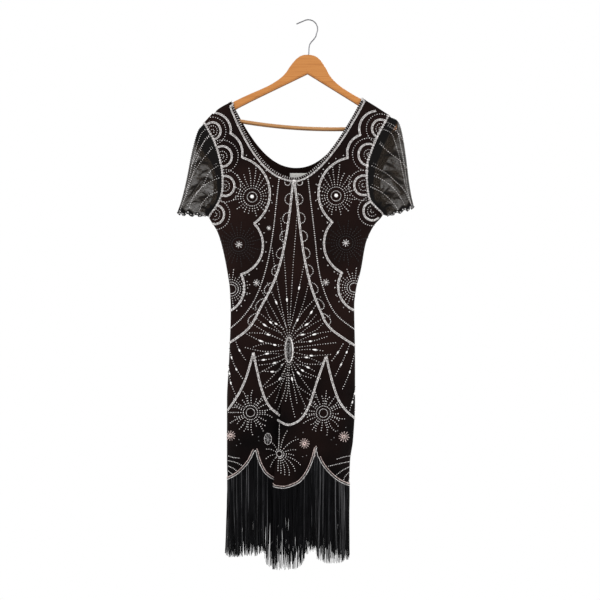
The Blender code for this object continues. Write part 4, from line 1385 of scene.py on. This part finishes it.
def soft_curve(*points, steps=10):
    """A smooth curve that passes through a few points."""
    ends = [points[0], *points, points[-1]]
    line = []
    for p0, p1, p2, p3 in zip(ends, ends[1:], ends[2:], ends[3:]):
        for i in range(steps):
            t = i / steps
            line.append(tuple(
                0.5 * (2 * b + (c - a) * t + (2 * a - 5 * b + 4 * c - d) * t * t
                       + (3 * b - a - 3 * c + d) * t ** 3)
                for a, b, c, d in zip(p0, p1, p2, p3)))
    line.append(points[-1])
    return line


def ring_of(middle, radius, squash=1.0, first=0, last=360, steps=48):
    return [turn_point(middle, radius, mix(first, last, i / steps), squash)
            for i in range(steps + 1)]


print("arc of", len(arc_through((0, 0), (1, 1), (2, 0))), "points")

# %% Beads at even steps along a line
BEAD_FLATNESS = 0.85
BEAD_SEAT = 0.7
BRAID_STEP = 2.9
LEAP = 9 * MM
NO_STEP = 1e-7
beads = {}


def sew(group, point, normal, along, length, width):
    """Note one bead: its half sizes in mm and how it lies on the cloth."""
    flat = (along - normal * along.dot(normal)).normalized()
    tall = width * BEAD_FLATNESS
    seat = point + normal * tall * BEAD_SEAT * MM
    beads.setdefault(group, []).append(
        (*seat, *flat, *normal, length * MM, width * MM, tall * MM))


def even_places(found, step):
    """Even steps along places on the cloth, as (point, normal, direction), broken at leaps."""
    places = []
    waiting = 0.0
    for first, second in zip(found, found[1:]):
        if first is None or second is None:
            waiting = 0.0
            continue
        gap = (second[0] - first[0]).length
        if gap > LEAP:
            waiting = 0.0
            continue
        if gap < NO_STEP:
            continue
        along = (second[0] - first[0]) / gap
        while waiting <= gap:
            share = waiting / gap
            places.append((first[0].lerp(second[0], share),
                           first[1].lerp(second[1], share).normalized(), along))
            waiting += step
        waiting -= gap
    return places


def finer(line, step=0.6):
    """The same pixel line with points at most a step apart."""
    dense = [line[0]]
    for a, b in zip(line, line[1:]):
        parts = max(1, math.ceil(math.dist(a, b) / step))
        dense += [(mix(a[0], b[0], i / parts), mix(a[1], b[1], i / parts))
                  for i in range(1, parts + 1)]
    return dense


def laid(line, side, step, tree=None):
    """Even steps of a pixel line on a panel, or on another surface."""
    return even_places([on_cloth(place, side, tree) for place in finer(line)], step * MM)


def dotted(line, side, group="silver", step=4.2, size=1.25, tree=None):
    """A row of single beads with small gaps."""
    for point, normal, along in laid(line, side, step, tree):
        sew(group, point, normal, along, size, size)


def two_rows(places, apart, size, step):
    """Two rows of silver beads side by side, each bead half a step on from its neighbour."""
    for point, normal, along in places:
        across = normal.cross(along).normalized() * apart / 2 * MM
        sew("silver", point + across, normal, along, size, size)
        sew("silver", point - across + along * step / 2 * MM, normal, along, size, size)


def braid(line, side, apart=2.9, size=1.6):
    """A thick line of the picture."""
    two_rows(laid(line, side, BRAID_STEP), apart, size, BRAID_STEP)


def drops(line, side, places, length, width):
    """Long clear beads at a few shares of a line."""
    found = laid(line, side, 1.0)
    for share in places:
        if found:
            point, normal, along = found[min(len(found) - 1, int(share * len(found)))]
            sew("crystal", point, normal, along, length, width)


def lone_bead(place, side, group, size):
    """One bead at a place of the picture."""
    dotted([place, (place[0] + 0.1, place[1])], side, group, size=size)


print("bead helpers ready")

# %% [markdown]
# ## The patterns
# From the shoulders down: four half rosettes round each armhole, a scalloped line that
# frames a sunburst on each side of the chest, two lines that fall from the neck and open
# like a curtain, and between them one great burst at the hips. Under it hang pointed
# scallops with sunbursts and rosettes. The same plan is sewn on the back.

# %% Sunbursts and rosettes
RAY_STEPS = 8


def sunburst(middle, side, reach, inner=7, ring=0, rays=26, wave=0.0, disc=False,
             tall_top=0.0, group="silver"):
    """Dotted rays round a small ring, each with its own length and bend."""
    for i in range(rays):
        degrees = 360 * ((i + 0.5) / rays)
        up = max(0.0, math.cos(math.radians(degrees)))
        far = reach * (0.84 + 0.16 * math.cos(i * 2.6)) + tall_top * up ** 3
        bend = wave * math.sin(i * 1.7 + middle[0])
        line = [turn_point(middle, mix(inner, far, t / RAY_STEPS),
                           degrees + bend * math.sin(math.pi * t / RAY_STEPS) * 6)
                for t in range(RAY_STEPS + 1)]
        dotted(line, side, group, step=6.0, size=1.45)
    if ring:
        dotted(ring_of(middle, ring, steps=30), side, group, step=2.9, size=1.2)
    if disc:
        drops(ring_of(middle, 0.3, steps=8), side, (0.0,), 5.6, 5.4)


def rosette(middle, side, radius, group, squash=1.0):
    """A round of short close rows, like a small flower."""
    petals = 12 if group == "rose" else 8
    for i in range(petals):
        degrees = 360 * i / petals
        line = [turn_point(middle, radius * 0.3, degrees, squash),
                turn_point(middle, radius, degrees + 8, squash)]
        dotted(line, side, group, step=2.5, size=1.25)
    dotted(ring_of(middle, radius * 0.2, squash), side, group, step=2.0, size=1.2)


CHEST_BURSTS = ((252.2, 197.1), (336, 196))
WAIST_BURSTS = ((231.5, 289), (353.8, 287.5))
SKIRT_BURSTS = ((250.5, 412.5), (323.4, 413.1))
DARK_BURSTS = ((239, 244.5), (345.8, 243))
SMALL_ROSETTES = (((268.9, 228), 2.4), ((256.6, 282.8), 3.2), ((325.9, 282.3), 3.2))
for side in (FRONT, BACK):
    for middle in CHEST_BURSTS:
        sunburst(middle, side, 21.5, inner=9, ring=5, rays=27, wave=0.35, disc=True,
                 tall_top=11)
    for middle in WAIST_BURSTS:
        sunburst(middle, side, 20, ring=4.6)
    for middle in SKIRT_BURSTS:
        sunburst(middle, side, 24, inner=7.2, ring=4.2, wave=1.1)
    for middle in DARK_BURSTS:
        rosette(middle, side, 4.2, "silver")
        sunburst(middle, side, 24, group="jet")
    for middle, radius in SMALL_ROSETTES:
        rosette(middle, side, radius, "silver")
print("beads so far:", {group: len(found) for group, found in beads.items()})

# %% Scalloped frame of the chest
PICOT_STEP = 11
PICOT_OFFSET = 3.4
LEFT_FRAME = (
    ((215.4, 113), (226, 118.4), (230.5, 133.6)),
    ((230.5, 133.6), (240.5, 144), (242, 157.7)),
    ((242, 157.7), (269.8, 191.6), (254, 223.5)),
    ((254, 223.5), (262.8, 249), (241, 274.4)),
    ((241, 274.4), (244.4, 288), (231, 310.6)))
RIGHT_FRAME = (
    ((375.8, 111), (363, 118), (360.2, 135.1)),
    ((360.2, 135.1), (349, 145), (347.8, 158)),
    ((347.8, 158), (318.9, 188), (332.4, 222)),
    ((332.4, 222), (324, 246), (342, 272.7)),
    ((342, 272.7), (338.3, 290), (355.6, 311)))


def picots(line, side, outward):
    """Single beads that stand just outside a line, at one side of it."""
    dense = finer(line, 1.0)
    for i in range(PICOT_STEP // 2, len(dense) - 1, PICOT_STEP):
        (x0, y0), (x1, y1) = dense[i], dense[i + 1]
        run = max(1e-6, math.hypot(x1 - x0, y1 - y0))
        place = (x0 + outward * (y1 - y0) / run * PICOT_OFFSET,
                 y0 - outward * (x1 - x0) / run * PICOT_OFFSET)
        lone_bead(place, side, "silver", 1.5)


for side in (FRONT, BACK):
    for arcs, outward in ((LEFT_FRAME, 1), (RIGHT_FRAME, -1)):
        for number, (start, over, end) in enumerate(arcs):
            line = arc_through(start, over, end)
            braid(line, side)
            if number > 1:
                picots(line, side, outward)
print("silver beads:", len(beads["silver"]))

# %% Half rosettes along the armholes
LEFT_ROUNDS = (((212.6, 131), 66, 8.6, 13.8), ((222.3, 156.5), 82, 10.2, 16.4),
               ((225.0, 186), 95, 10.0, 16.2), ((215.4, 214.5), 118, 9.4, 15.0))
RIGHT_ROUNDS = (((380.6, 128.8), -66, 9.2, 14.8), ((368.6, 154.8), -80, 10.8, 16.6),
                ((363.4, 185.4), -92, 9.8, 15.2), ((372, 211), -118, 9.2, 14.6))
INNER_ROUNDS = ((5.2, 0.9, 5.4, 1.35), (1.8, 0.9, 4.4, 1.3))
HALF_OPENING = 108
for side in (FRONT, BACK):
    for middle, facing, thick, outer in (*LEFT_ROUNDS, *RIGHT_ROUNDS):
        half = {"first": facing - HALF_OPENING, "last": facing + HALF_OPENING}
        braid(ring_of(middle, thick, 0.94, **half), side)
        for radius, squash, step, size in ((outer, 0.97, 6.0, 1.4), *INNER_ROUNDS):
            dotted(ring_of(middle, radius, squash, **half), side, step=step, size=size)
print("silver beads:", len(beads["silver"]))

# %% Curtain lines from the neck
INNER_LEFT = soft_curve((293.2, 180), (289.5, 214), (285.4, 240), (280.3, 263), (273, 284),
                        (261.5, 306), (249, 328), (229, 343.5))
INNER_RIGHT = soft_curve((294.2, 180), (297.6, 207), (301, 235), (305.6, 264), (311.4, 287.5),
                         (320, 310), (330, 328), (356, 346.5))
OUTER_LEFT = soft_curve((279.2, 177.6), (276.4, 202), (273.3, 230), (268.6, 258), (262, 282),
                        (253.5, 302), (242, 318), (229, 330))
OUTER_RIGHT = soft_curve((307.8, 177.6), (311.4, 207), (315, 238), (317.5, 262), (321.7, 283),
                         (328.5, 302), (338.5, 317), (357, 331.5))
HALF_LOOPS = (199, 218, 236, 253, 270, 288, 304, 319)
LOOP_POINTS = 16
BACK_LIFT = 13
EYE_RINGS = (287.6, 299.6)


def crossing(line, height):
    """x of a line where it passes a height of the picture."""
    for (x0, y0), (x1, y1) in zip(line, line[1:]):
        if y0 <= height <= y1:
            return mix(x0, x1, (height - y0) / max(1e-6, y1 - y0))
    return line[-1][0]


def half_loop(line, height, away):
    """A small loop at one side of a line, leaning with it."""
    x = crossing(line, height)
    slant = (crossing(line, height + 5) - crossing(line, height - 5)) / 10
    loop = []
    for i in range(LOOP_POINTS + 1):
        angle = math.radians(mix(-95, 95, i / LOOP_POINTS))
        down = 5.4 * math.sin(angle)
        loop.append((x + away * (1.2 + 5.0 * math.cos(angle)) + slant * down, height + down))
    return loop


for side in (FRONT, BACK):
    lift = BACK_LIFT if side == BACK else 0
    for line in (INNER_LEFT, INNER_RIGHT):
        braid([(line[0][0], line[0][1] - lift), *line], side)
    for line in (OUTER_LEFT, OUTER_RIGHT):
        top = (line[0][0], line[0][1] - lift * 1.1)
        dotted([top, *line], side, step=5.0, size=1.8)
    for height in HALF_LOOPS:
        for line, away in ((INNER_LEFT, -1), (INNER_RIGHT, 1)):
            dotted(half_loop(line, height, away), side, step=4.3, size=1.45)
    for x in EYE_RINGS:
        dotted(ring_of((x, 182.5 - lift), 2.9, first=80, last=280, steps=16), side, step=2.4)
print("silver beads:", len(beads["silver"]))

# %% The great burst at the hips
BURST = (289.0, 350.0)
BURST_WIDE = 3.7
BURST_TALL = 12.5
BURST_RAYS = 46
RAY_STARTS = ((5.6, 15), (10.5, 25))
RAY_BEND = 5.0
RAY_SWAY = 2.2
SQUEEZE = 4.0
BURST_REACH = table(
    "turn reach",
    (0, 166), (5, 152), (10, 118), (16, 92), (24, 72), (36, 60), (50, 54), (66, 50),
    (84, 46), (100, 42), (118, 40), (136, 46), (150, 58), (164, 64), (180, 66))


def burst_ray(turn, reach, wide, tall):
    """A ray that starts square to a tall oval and swings to its own direction."""
    angle = math.radians(turn)
    start = (BURST[0] + wide * math.sin(angle), BURST[1] - tall * math.cos(angle))
    bend = RAY_BEND * math.sin(2 * angle)
    end = (BURST[0] + reach * math.sin(angle), BURST[1] - reach * math.cos(angle))
    middle = ((start[0] * 0.55 + end[0] * 0.45) + bend * 0.55, (start[1] + end[1]) / 2)
    sway = RAY_SWAY * math.sin(turn * 0.31) * min(1.0, 60 / reach)
    middle = (middle[0] - 0.6 * sway * math.cos(angle), middle[1] - 0.8 * sway * math.sin(angle))
    end = (end[0] + sway * math.cos(angle), end[1] + 1.5 * sway * math.sin(angle))
    return soft_curve(start, middle, end, steps=8)


def has_drop(number, folded):
    """Whether a ray carries a long bead; the rays that point down carry fewer."""
    if number % 2:
        return folded < 150 or number % 8 == 5
    return number % 4 == 0 and 24 < folded < 140


for side in (FRONT, BACK):
    braid(ring_of(BURST, BURST_TALL, BURST_WIDE / BURST_TALL), side, apart=2.2, size=1.3)
    dotted(ring_of((BURST[0] + 0.5, BURST[1]), BURST_TALL * 0.94, BURST_WIDE / BURST_TALL,
                   first=25, last=155), side, step=1.9, size=1.7)
    for inset in (0.8, 0.55, 0.3):
        dotted(ring_of((BURST[0] - 0.4, BURST[1]), BURST_TALL * inset,
                       BURST_WIDE * 0.8 / BURST_TALL), side, "smoke", step=2.7)
    for i in range(BURST_RAYS):
        turn = 360 * (i + 0.5) / BURST_RAYS
        folded = min(turn, 360 - turn)
        squeezed = turn - SQUEEZE * math.sin(math.radians(2 * turn))
        reach = read_row(BURST_REACH, "turn", "reach", folded * MM) / MM
        reach *= 1 - 0.16 * (i % 2) + 0.04 * math.sin(i * 2.1)
        ray = burst_ray(squeezed, reach, *RAY_STARTS[i % 2])
        dotted(ray, side, step=6.2, size=1.3)
        if has_drop(i, folded):
            place = 0.16 + 0.46 * ((i * 5) % 7) / 6
            drops(ray, side, (place,), length=4.8 + 1.8 * math.sin(i) ** 2, width=2.6)
print("silver beads:", len(beads["silver"]))

# %% Pointed scallops above the hem, and the rays beside them
MIDDLE_LEFT = soft_curve((253.4, 352.8), (249.8, 366), (245.4, 379.5), (238.2, 395), (228, 410.5))
CENTRE_LEFT = soft_curve((253.6, 352.8), (257, 370), (262, 390), (268.9, 405.6), (279.6, 415.4))
CENTRE_RIGHT = soft_curve((277.6, 420), (288.4, 424.8), (300.5, 419.2), (309, 405.6),
                          (316.5, 383), (325.8, 356.6))
MIDDLE_RIGHT = soft_curve((326.3, 356.3), (330.9, 377), (337.3, 397), (345, 409.6), (355.5, 419))
SIDE_RAYS = (
    ((235.4, 340), (240, 351), (246.4, 361)), ((229.2, 347), (234.5, 365), (243.6, 380)),
    ((228.4, 372), (231.5, 384), (236.4, 396.5)), ((228.6, 352), (228.8, 366), (231, 378)),
    ((342.8, 344), (338, 352), (331.2, 361.5)), ((350.4, 342), (343.5, 359), (335, 376)),
    ((354, 354), (349, 373), (341.5, 391)), ((356, 378), (354, 394), (349.4, 410.5)),
    ((356.4, 396), (356, 404), (354.4, 413)))
CENTRE_JOINED = soft_curve((253.6, 352.8), (257, 370), (262, 390), (269.5, 406.5), (281, 419.5),
                           (292, 423.6), (301.5, 418.4), (309, 405.6), (316.5, 383), (325.8, 356.6))
for side in (FRONT, BACK):
    centre = (CENTRE_LEFT, CENTRE_RIGHT) if side == FRONT else (CENTRE_JOINED,)
    for line in (MIDDLE_LEFT, *centre, MIDDLE_RIGHT):
        braid(line, side)
    for number, points in enumerate(SIDE_RAYS):
        ray = soft_curve(*points)
        dotted(ray, side, step=6.0, size=1.4)
        drops(ray, side, (0.3, 0.66) if number % 2 else (0.48,), length=4.6, width=2.2)
print("silver beads:", len(beads["silver"]))

# %% Rosettes and curling rays between the scallops and the hem
PINK_ROSETTES = (((230.6, 435.5), 5.4, 1.0), ((267.9, 438.9), 5.6, 0.62),
                 ((304.5, 443.3), 5.2, 0.95), ((343.6, 436.6), 5.6, 1.0))
LOOSE_BEADS = ((239, 439.5), (240.6, 443.6), (258.6, 436.6), (258.8, 440.6), (236.8, 445.4),
               (295.4, 437), (303, 432.4), (302.6, 456.6), (306.4, 455.4), (334, 437.6),
               (331.2, 439.8), (337.6, 430.6), (336.4, 444.6), (345.6, 427.4))
CURLS = table(
    "turn reach swing",
    (12, 26, 8), (40, 24, 12), (68, 17, 8), (90, 15, 6), (108, 24, 10), (124, 25, 16),
    (142, 24, 14), (158, 22, 8), (172, 20, 4), (188, 18, -4), (222, 16, -8), (262, 15, -14),
    (300, 14, -10), (332, 15, -8))
SIDE_CURLS = (
    ((229, 456), (234, 457.6), (239.5, 458)), ((228.4, 460.6), (236, 462.4), (243, 466)),
    ((228.6, 466), (234, 468.6), (238.6, 472.6)), ((228.8, 471), (232.6, 474), (236, 478)),
    ((352.4, 455.4), (343, 457), (335.6, 459.6)), ((351.8, 461), (340, 463.4), (327.4, 466.4)),
    ((351, 466), (342.6, 470), (335, 476)), ((350.6, 470.6), (345, 476), (343, 481.4)),
    ((350, 475), (348.6, 480), (346.4, 484.6)))


def curling(middle, side):
    """A small burst whose rays swing as they go out."""
    for turn, reach, swing in zip(*CURLS.values()):
        line = [turn_point(middle, mix(4.5, reach, t / 8), turn + swing * (t / 8) ** 2)
                for t in range(9)]
        dotted(line, side, step=5.8, size=1.4)
    dotted(ring_of(middle, 3.0, 0.9, steps=20), side, step=2.9, size=1.3)


for side in (FRONT, BACK):
    for middle, radius, squash in PINK_ROSETTES:
        rosette(middle, side, radius, "rose" if squash > 0.7 else "smoke", squash)
        if squash < 0.7:
            dotted(ring_of(middle, radius, squash), side, step=2.9, size=1.2)
    for place in LOOSE_BEADS:
        lone_bead(place, side, "smoke", 1.3)
    for points in SIDE_CURLS:
        dotted(soft_curve(*points), side, step=4.6, size=1.35)
    curling((279.4, 453.8), side)
    dotted(soft_curve((279.8, 424), (279.2, 437), (278.4, 450)), side, step=4.2, size=1.35)
print("beads so far:", {group: len(found) for group, found in beads.items()})

# %% [markdown]
# ## Beaded edges
# The neck, the armholes, the cuffs and the hem are edges of the cloth itself, so their
# beads are laid from the edge's own points and not from the picture. A step in from the
# edge is found by moving across it and dropping back on to the cloth.

# %% Stepping in from an edge
EDGE_STEP = 2.5


def inset_line(line, side, distance, inside):
    """The edge line moved into the cloth, with its normals; inside is a point within."""
    found = []
    for i, point in enumerate(line):
        run = (line[min(i + 1, len(line) - 1)] - line[max(i - 1, 0)]).normalized()
        across = cloth_trees[side].find_nearest(point)[1].cross(run).normalized()
        if across.dot(inside - point) < 0:
            across = -across
        near, normal = cloth_trees[side].find_nearest(point + across * distance)[:2]
        if normal.dot(Vector((0, side, 0.3))) < 0:
            normal = -normal
        found.append((near, normal))
    return found


def edge_ticks(inner, outer, step):
    """Short rows of three small beads that cross an edge."""
    for point, normal, along in even_places(inner, step * MM):
        across = min(((other[0] - point).length, other[0]) for other in outer)[1] - point
        for i in range(3):
            sew("silver", point + across * i / 2, normal, across.normalized(), 1.0, 0.9)


def trim_edge(line, side, inside, trim):
    """The beads of one edge: a thick line, and short rows that cross the edge."""
    braided = even_places(inset_line(line, side, trim["braid"] * MM, inside), EDGE_STEP * MM)
    two_rows(braided, trim["apart"], trim["size"], EDGE_STEP)
    near, far = (inset_line(line, side, distance * MM, inside) for distance in trim["ticks"])
    edge_ticks(near, far, trim["step"])


def inside_panel(x, side, height):
    """A point well inside a panel's outline, on its own side of the middle plane."""
    return Vector((x, side * 50 * MM, height))


print("edge helpers ready")

# %% Neck, armholes and hem
NECK_TRIM = {"braid": 8.8, "apart": 2.3, "size": 1.35, "ticks": (3.9, 0.8), "step": 5.7}
ARMHOLE_TRIM = {"braid": 2.6, "apart": 2.2, "size": 1.25, "ticks": (5.2, 0.4), "step": 6.4}
HEM_ROWS = ((1.5, "silver"), (3.8, "jet"), (6.1, "rose"))
HEM_REACH = 7 * MM
EDGE_STEPS = 420
ARMHOLE_STEPS = 200
for side, name in EDGE_NAME.items():
    rows = panels[side]
    shares = shares_of[side]
    first = shares.index(SHOULDER_SHARE)
    last = shares.index(1 - SHOULDER_SHARE)
    neck = even_steps(rows[0][first:last + 1], EDGE_STEPS)
    trim_edge(neck, side, inside_panel(NECK_CENTRE, side, -0.6), NECK_TRIM)
    for column, aim in ((0, 0.12), (-1, -0.12)):
        edge = even_steps([row[column] for row in rows[:UNDERARM_ROW + 1]], ARMHOLE_STEPS)
        middle = edge[ARMHOLE_STEPS // 2].x
        trim_edge(edge, side, inside_panel(middle + aim, side, -0.5), ARMHOLE_TRIM)
    hem = even_steps(rows[-1], EDGE_STEPS)
    inside = inside_panel(hem[EDGE_STEPS // 2].x, side, -0.8)
    for distance, group in HEM_ROWS:
        found = [spot if spot[0].z < HEM_PEAK + HEM_REACH else None
                 for spot in inset_line(hem, side, distance * MM, inside)]
        for point, normal, along in even_places(found, 3.0 * MM):
            sew(group, point, normal, along, 1.5, 1.4)
print("beads so far:", {group: len(found) for group, found in beads.items()})

# %% Rows of beads down the sleeves and round the cuffs
FOLD_LINES = (0.425, 0.46, 0.49, 0.51, 0.54, 0.575)
SLEEVE_LINES = {
    "left": (((212.5, 148), (204, 158), (198.2, 165.5), (191.5, 178), (186, 193)),
             ((218, 166), (209.8, 172), (203, 185), (193, 199), (189, 209)),
             ((218.9, 178), (208, 183), (197.4, 192), (187.4, 206)),
             ((217, 192), (209, 196), (202.5, 203), (199, 211)),
             ((209, 137), (202.5, 144), (196.5, 155), (191.5, 166))),
    "right": (((388, 126), (396, 131), (402.3, 139.8), (405.6, 150)),
              ((379.9, 144), (389.8, 153), (399.8, 160.5), (408.8, 171)),
              ((372, 165.9), (385.7, 173), (394.8, 181), (403.9, 190), (411.8, 206)),
              ((370.8, 187), (382.4, 192.8), (392.3, 202), (398.4, 210)),
              ((374.4, 176), (386, 182), (396.6, 192), (405, 206)))}
TOP_FOLDS = (0.49, 0.51)
FOLD_DRIFT = 10
CUFF_STEPS = 160


def along_fold(rows, share):
    """Places and normals down a sleeve, near a share of its round and drifting to the top."""
    count = len(rows[0])
    middle = sum((row[0] for row in rows), Vector()) / len(rows)
    found = []
    for r in range(2, len(rows)):
        spot = share * count + (0.5 - share) * FOLD_DRIFT * (r / len(rows)) ** 2
        c = int(spot) % count
        here = rows[r][c].lerp(rows[r][(c + 1) % count], spot - int(spot))
        around = rows[r][(c + 1) % count] - rows[r][c - 1]
        down = rows[min(r + 1, len(rows) - 1)][c] - rows[r - 1][c]
        out = down.cross(around).normalized()
        found.append((here, out if out.dot(here - middle) >= 0 else -out))
    return found


for name, rows in sleeves.items():
    tree = BVHTree.FromPolygons([p for row in rows for p in row],
                                grid_faces(len(rows), len(rows[0]), closed=True))
    for side in (FRONT, BACK):
        for points in SLEEVE_LINES[name]:
            dotted(soft_curve(*points), side, step=5.4, size=1.25, tree=tree)
    for share in FOLD_LINES:
        group = "smoke" if share in TOP_FOLDS else "silver"
        for point, normal, along in even_places(along_fold(rows, share), 5.0 * MM):
            sew(group, point, normal, along, 1.15, 1.15)
    cuff = even_steps(rows[-1] + rows[-1][:1], CUFF_STEPS)
    heart = sum(cuff, Vector()) / len(cuff)
    found = [(point, (point - heart).normalized()) for point in cuff]
    for number, (point, normal, along) in enumerate(even_places(found, 3.1 * MM)):
        group = "jet" if number % 3 else "silver"
        sew(group, point, normal, along, 1.8, 1.7)
print("beads so far:", {group: len(found) for group, found in beads.items()})

# %% [markdown]
# ## From numbers to meshes
# The ball is turned and stretched for every bead at once with numpy, then written into the
# mesh in one go. Glass beads with a silver lining are bright but not mirrors: a metal with
# a soft gloss, a little uneven in tone from bead to bead.

# %% Bead finishes


def bead_finish(name, dark, light, metallic, rough):
    """Glass between two tones, with its own range of roughness."""
    finish, tree, shader = start_finish(name, Metallic=metallic, Specular_IOR_Level=0.5)
    tone = use_group(tree, slow_tone, Patches=240.0).outputs["Tone"]
    link_inputs(tree, shader, Base_Color=two_tones(tree, tone, dark, light),
                Roughness=spread(tree, tone, *rough))
    return finish


GLASS = (
    ("silver", "silver_lined_glass", (0.46, 0.43, 0.42), (0.98, 0.96, 0.95), 0.75, (0.16, 0.36)),
    ("crystal", "bright_crystal", (0.86, 0.84, 0.83), (1.0, 0.99, 0.98), 0.35, (0.08, 0.22)),
    ("rose", "rose_lined_glass", (0.42, 0.33, 0.31), (0.92, 0.76, 0.72), 0.7, (0.18, 0.38)),
    ("smoke", "smoke_glass", (0.12, 0.12, 0.12), (0.42, 0.41, 0.41), 0.6, (0.15, 0.35)),
    ("jet", "jet_glass", (0.004, 0.004, 0.005), (0.02, 0.02, 0.022), 0.0, (0.08, 0.2)))
bead_finishes = {group: bead_finish(*look) for group, *look in GLASS}
print("bead finishes:", sorted(bead_finishes))

# %% Joined bead meshes
BEADS_PER_MESH = 9000


def ball_template():
    """Corners and triangles of a twenty-sided ball with a radius of 1."""
    form = bmesh.new()
    bmesh.ops.create_icosphere(form, subdivisions=1, radius=1.0)
    corners = np.array([v.co[:] for v in form.verts])
    triangles = np.array([[v.index for v in face.verts] for face in form.faces])
    form.free()
    return corners, triangles


BALL, BALL_FACES = ball_template()


def join_beads(name, rows, finish):
    """One mesh of many balls; each row holds place, direction, normal and half sizes."""
    rows = np.array(rows)
    place, along, normal, sizes = rows[:, 0:3], rows[:, 3:6], rows[:, 6:9], rows[:, 9:12]
    across = np.cross(normal, along)
    corners = (place[:, None, :]
               + BALL[None, :, 0:1] * (along * sizes[:, 0:1])[:, None, :]
               + BALL[None, :, 1:2] * (across * sizes[:, 1:2])[:, None, :]
               + BALL[None, :, 2:3] * (normal * sizes[:, 2:3])[:, None, :])
    shift = np.arange(len(rows))[:, None, None] * len(BALL)
    triangles = (BALL_FACES[None, :, :] + shift).reshape(-1, 3)
    thing = place_mesh(name, [], [], finish)
    mesh = thing.data
    mesh.vertices.add(corners.shape[0] * corners.shape[1])
    mesh.vertices.foreach_set("co", corners.reshape(-1))
    mesh.loops.add(triangles.size)
    mesh.loops.foreach_set("vertex_index", triangles.reshape(-1))
    mesh.polygons.add(len(triangles))
    mesh.polygons.foreach_set("loop_start", np.arange(0, triangles.size, 3))
    mesh.update(calc_edges=True)
    mesh.shade_smooth()
    return thing


for group, rows in beads.items():
    parts = math.ceil(len(rows) / BEADS_PER_MESH)
    for part in range(parts):
        share = rows[part * len(rows) // parts:(part + 1) * len(rows) // parts]
        piece = join_beads(f"beads_{group}_{part + 1}", share, bead_finishes[group])
        print(piece.name, len(share), "beads,", len(share) * len(BALL_FACES), "triangles")
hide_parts("neck_band_front", "neck_band_back", "hem_band_front",
            "hem_band_back")
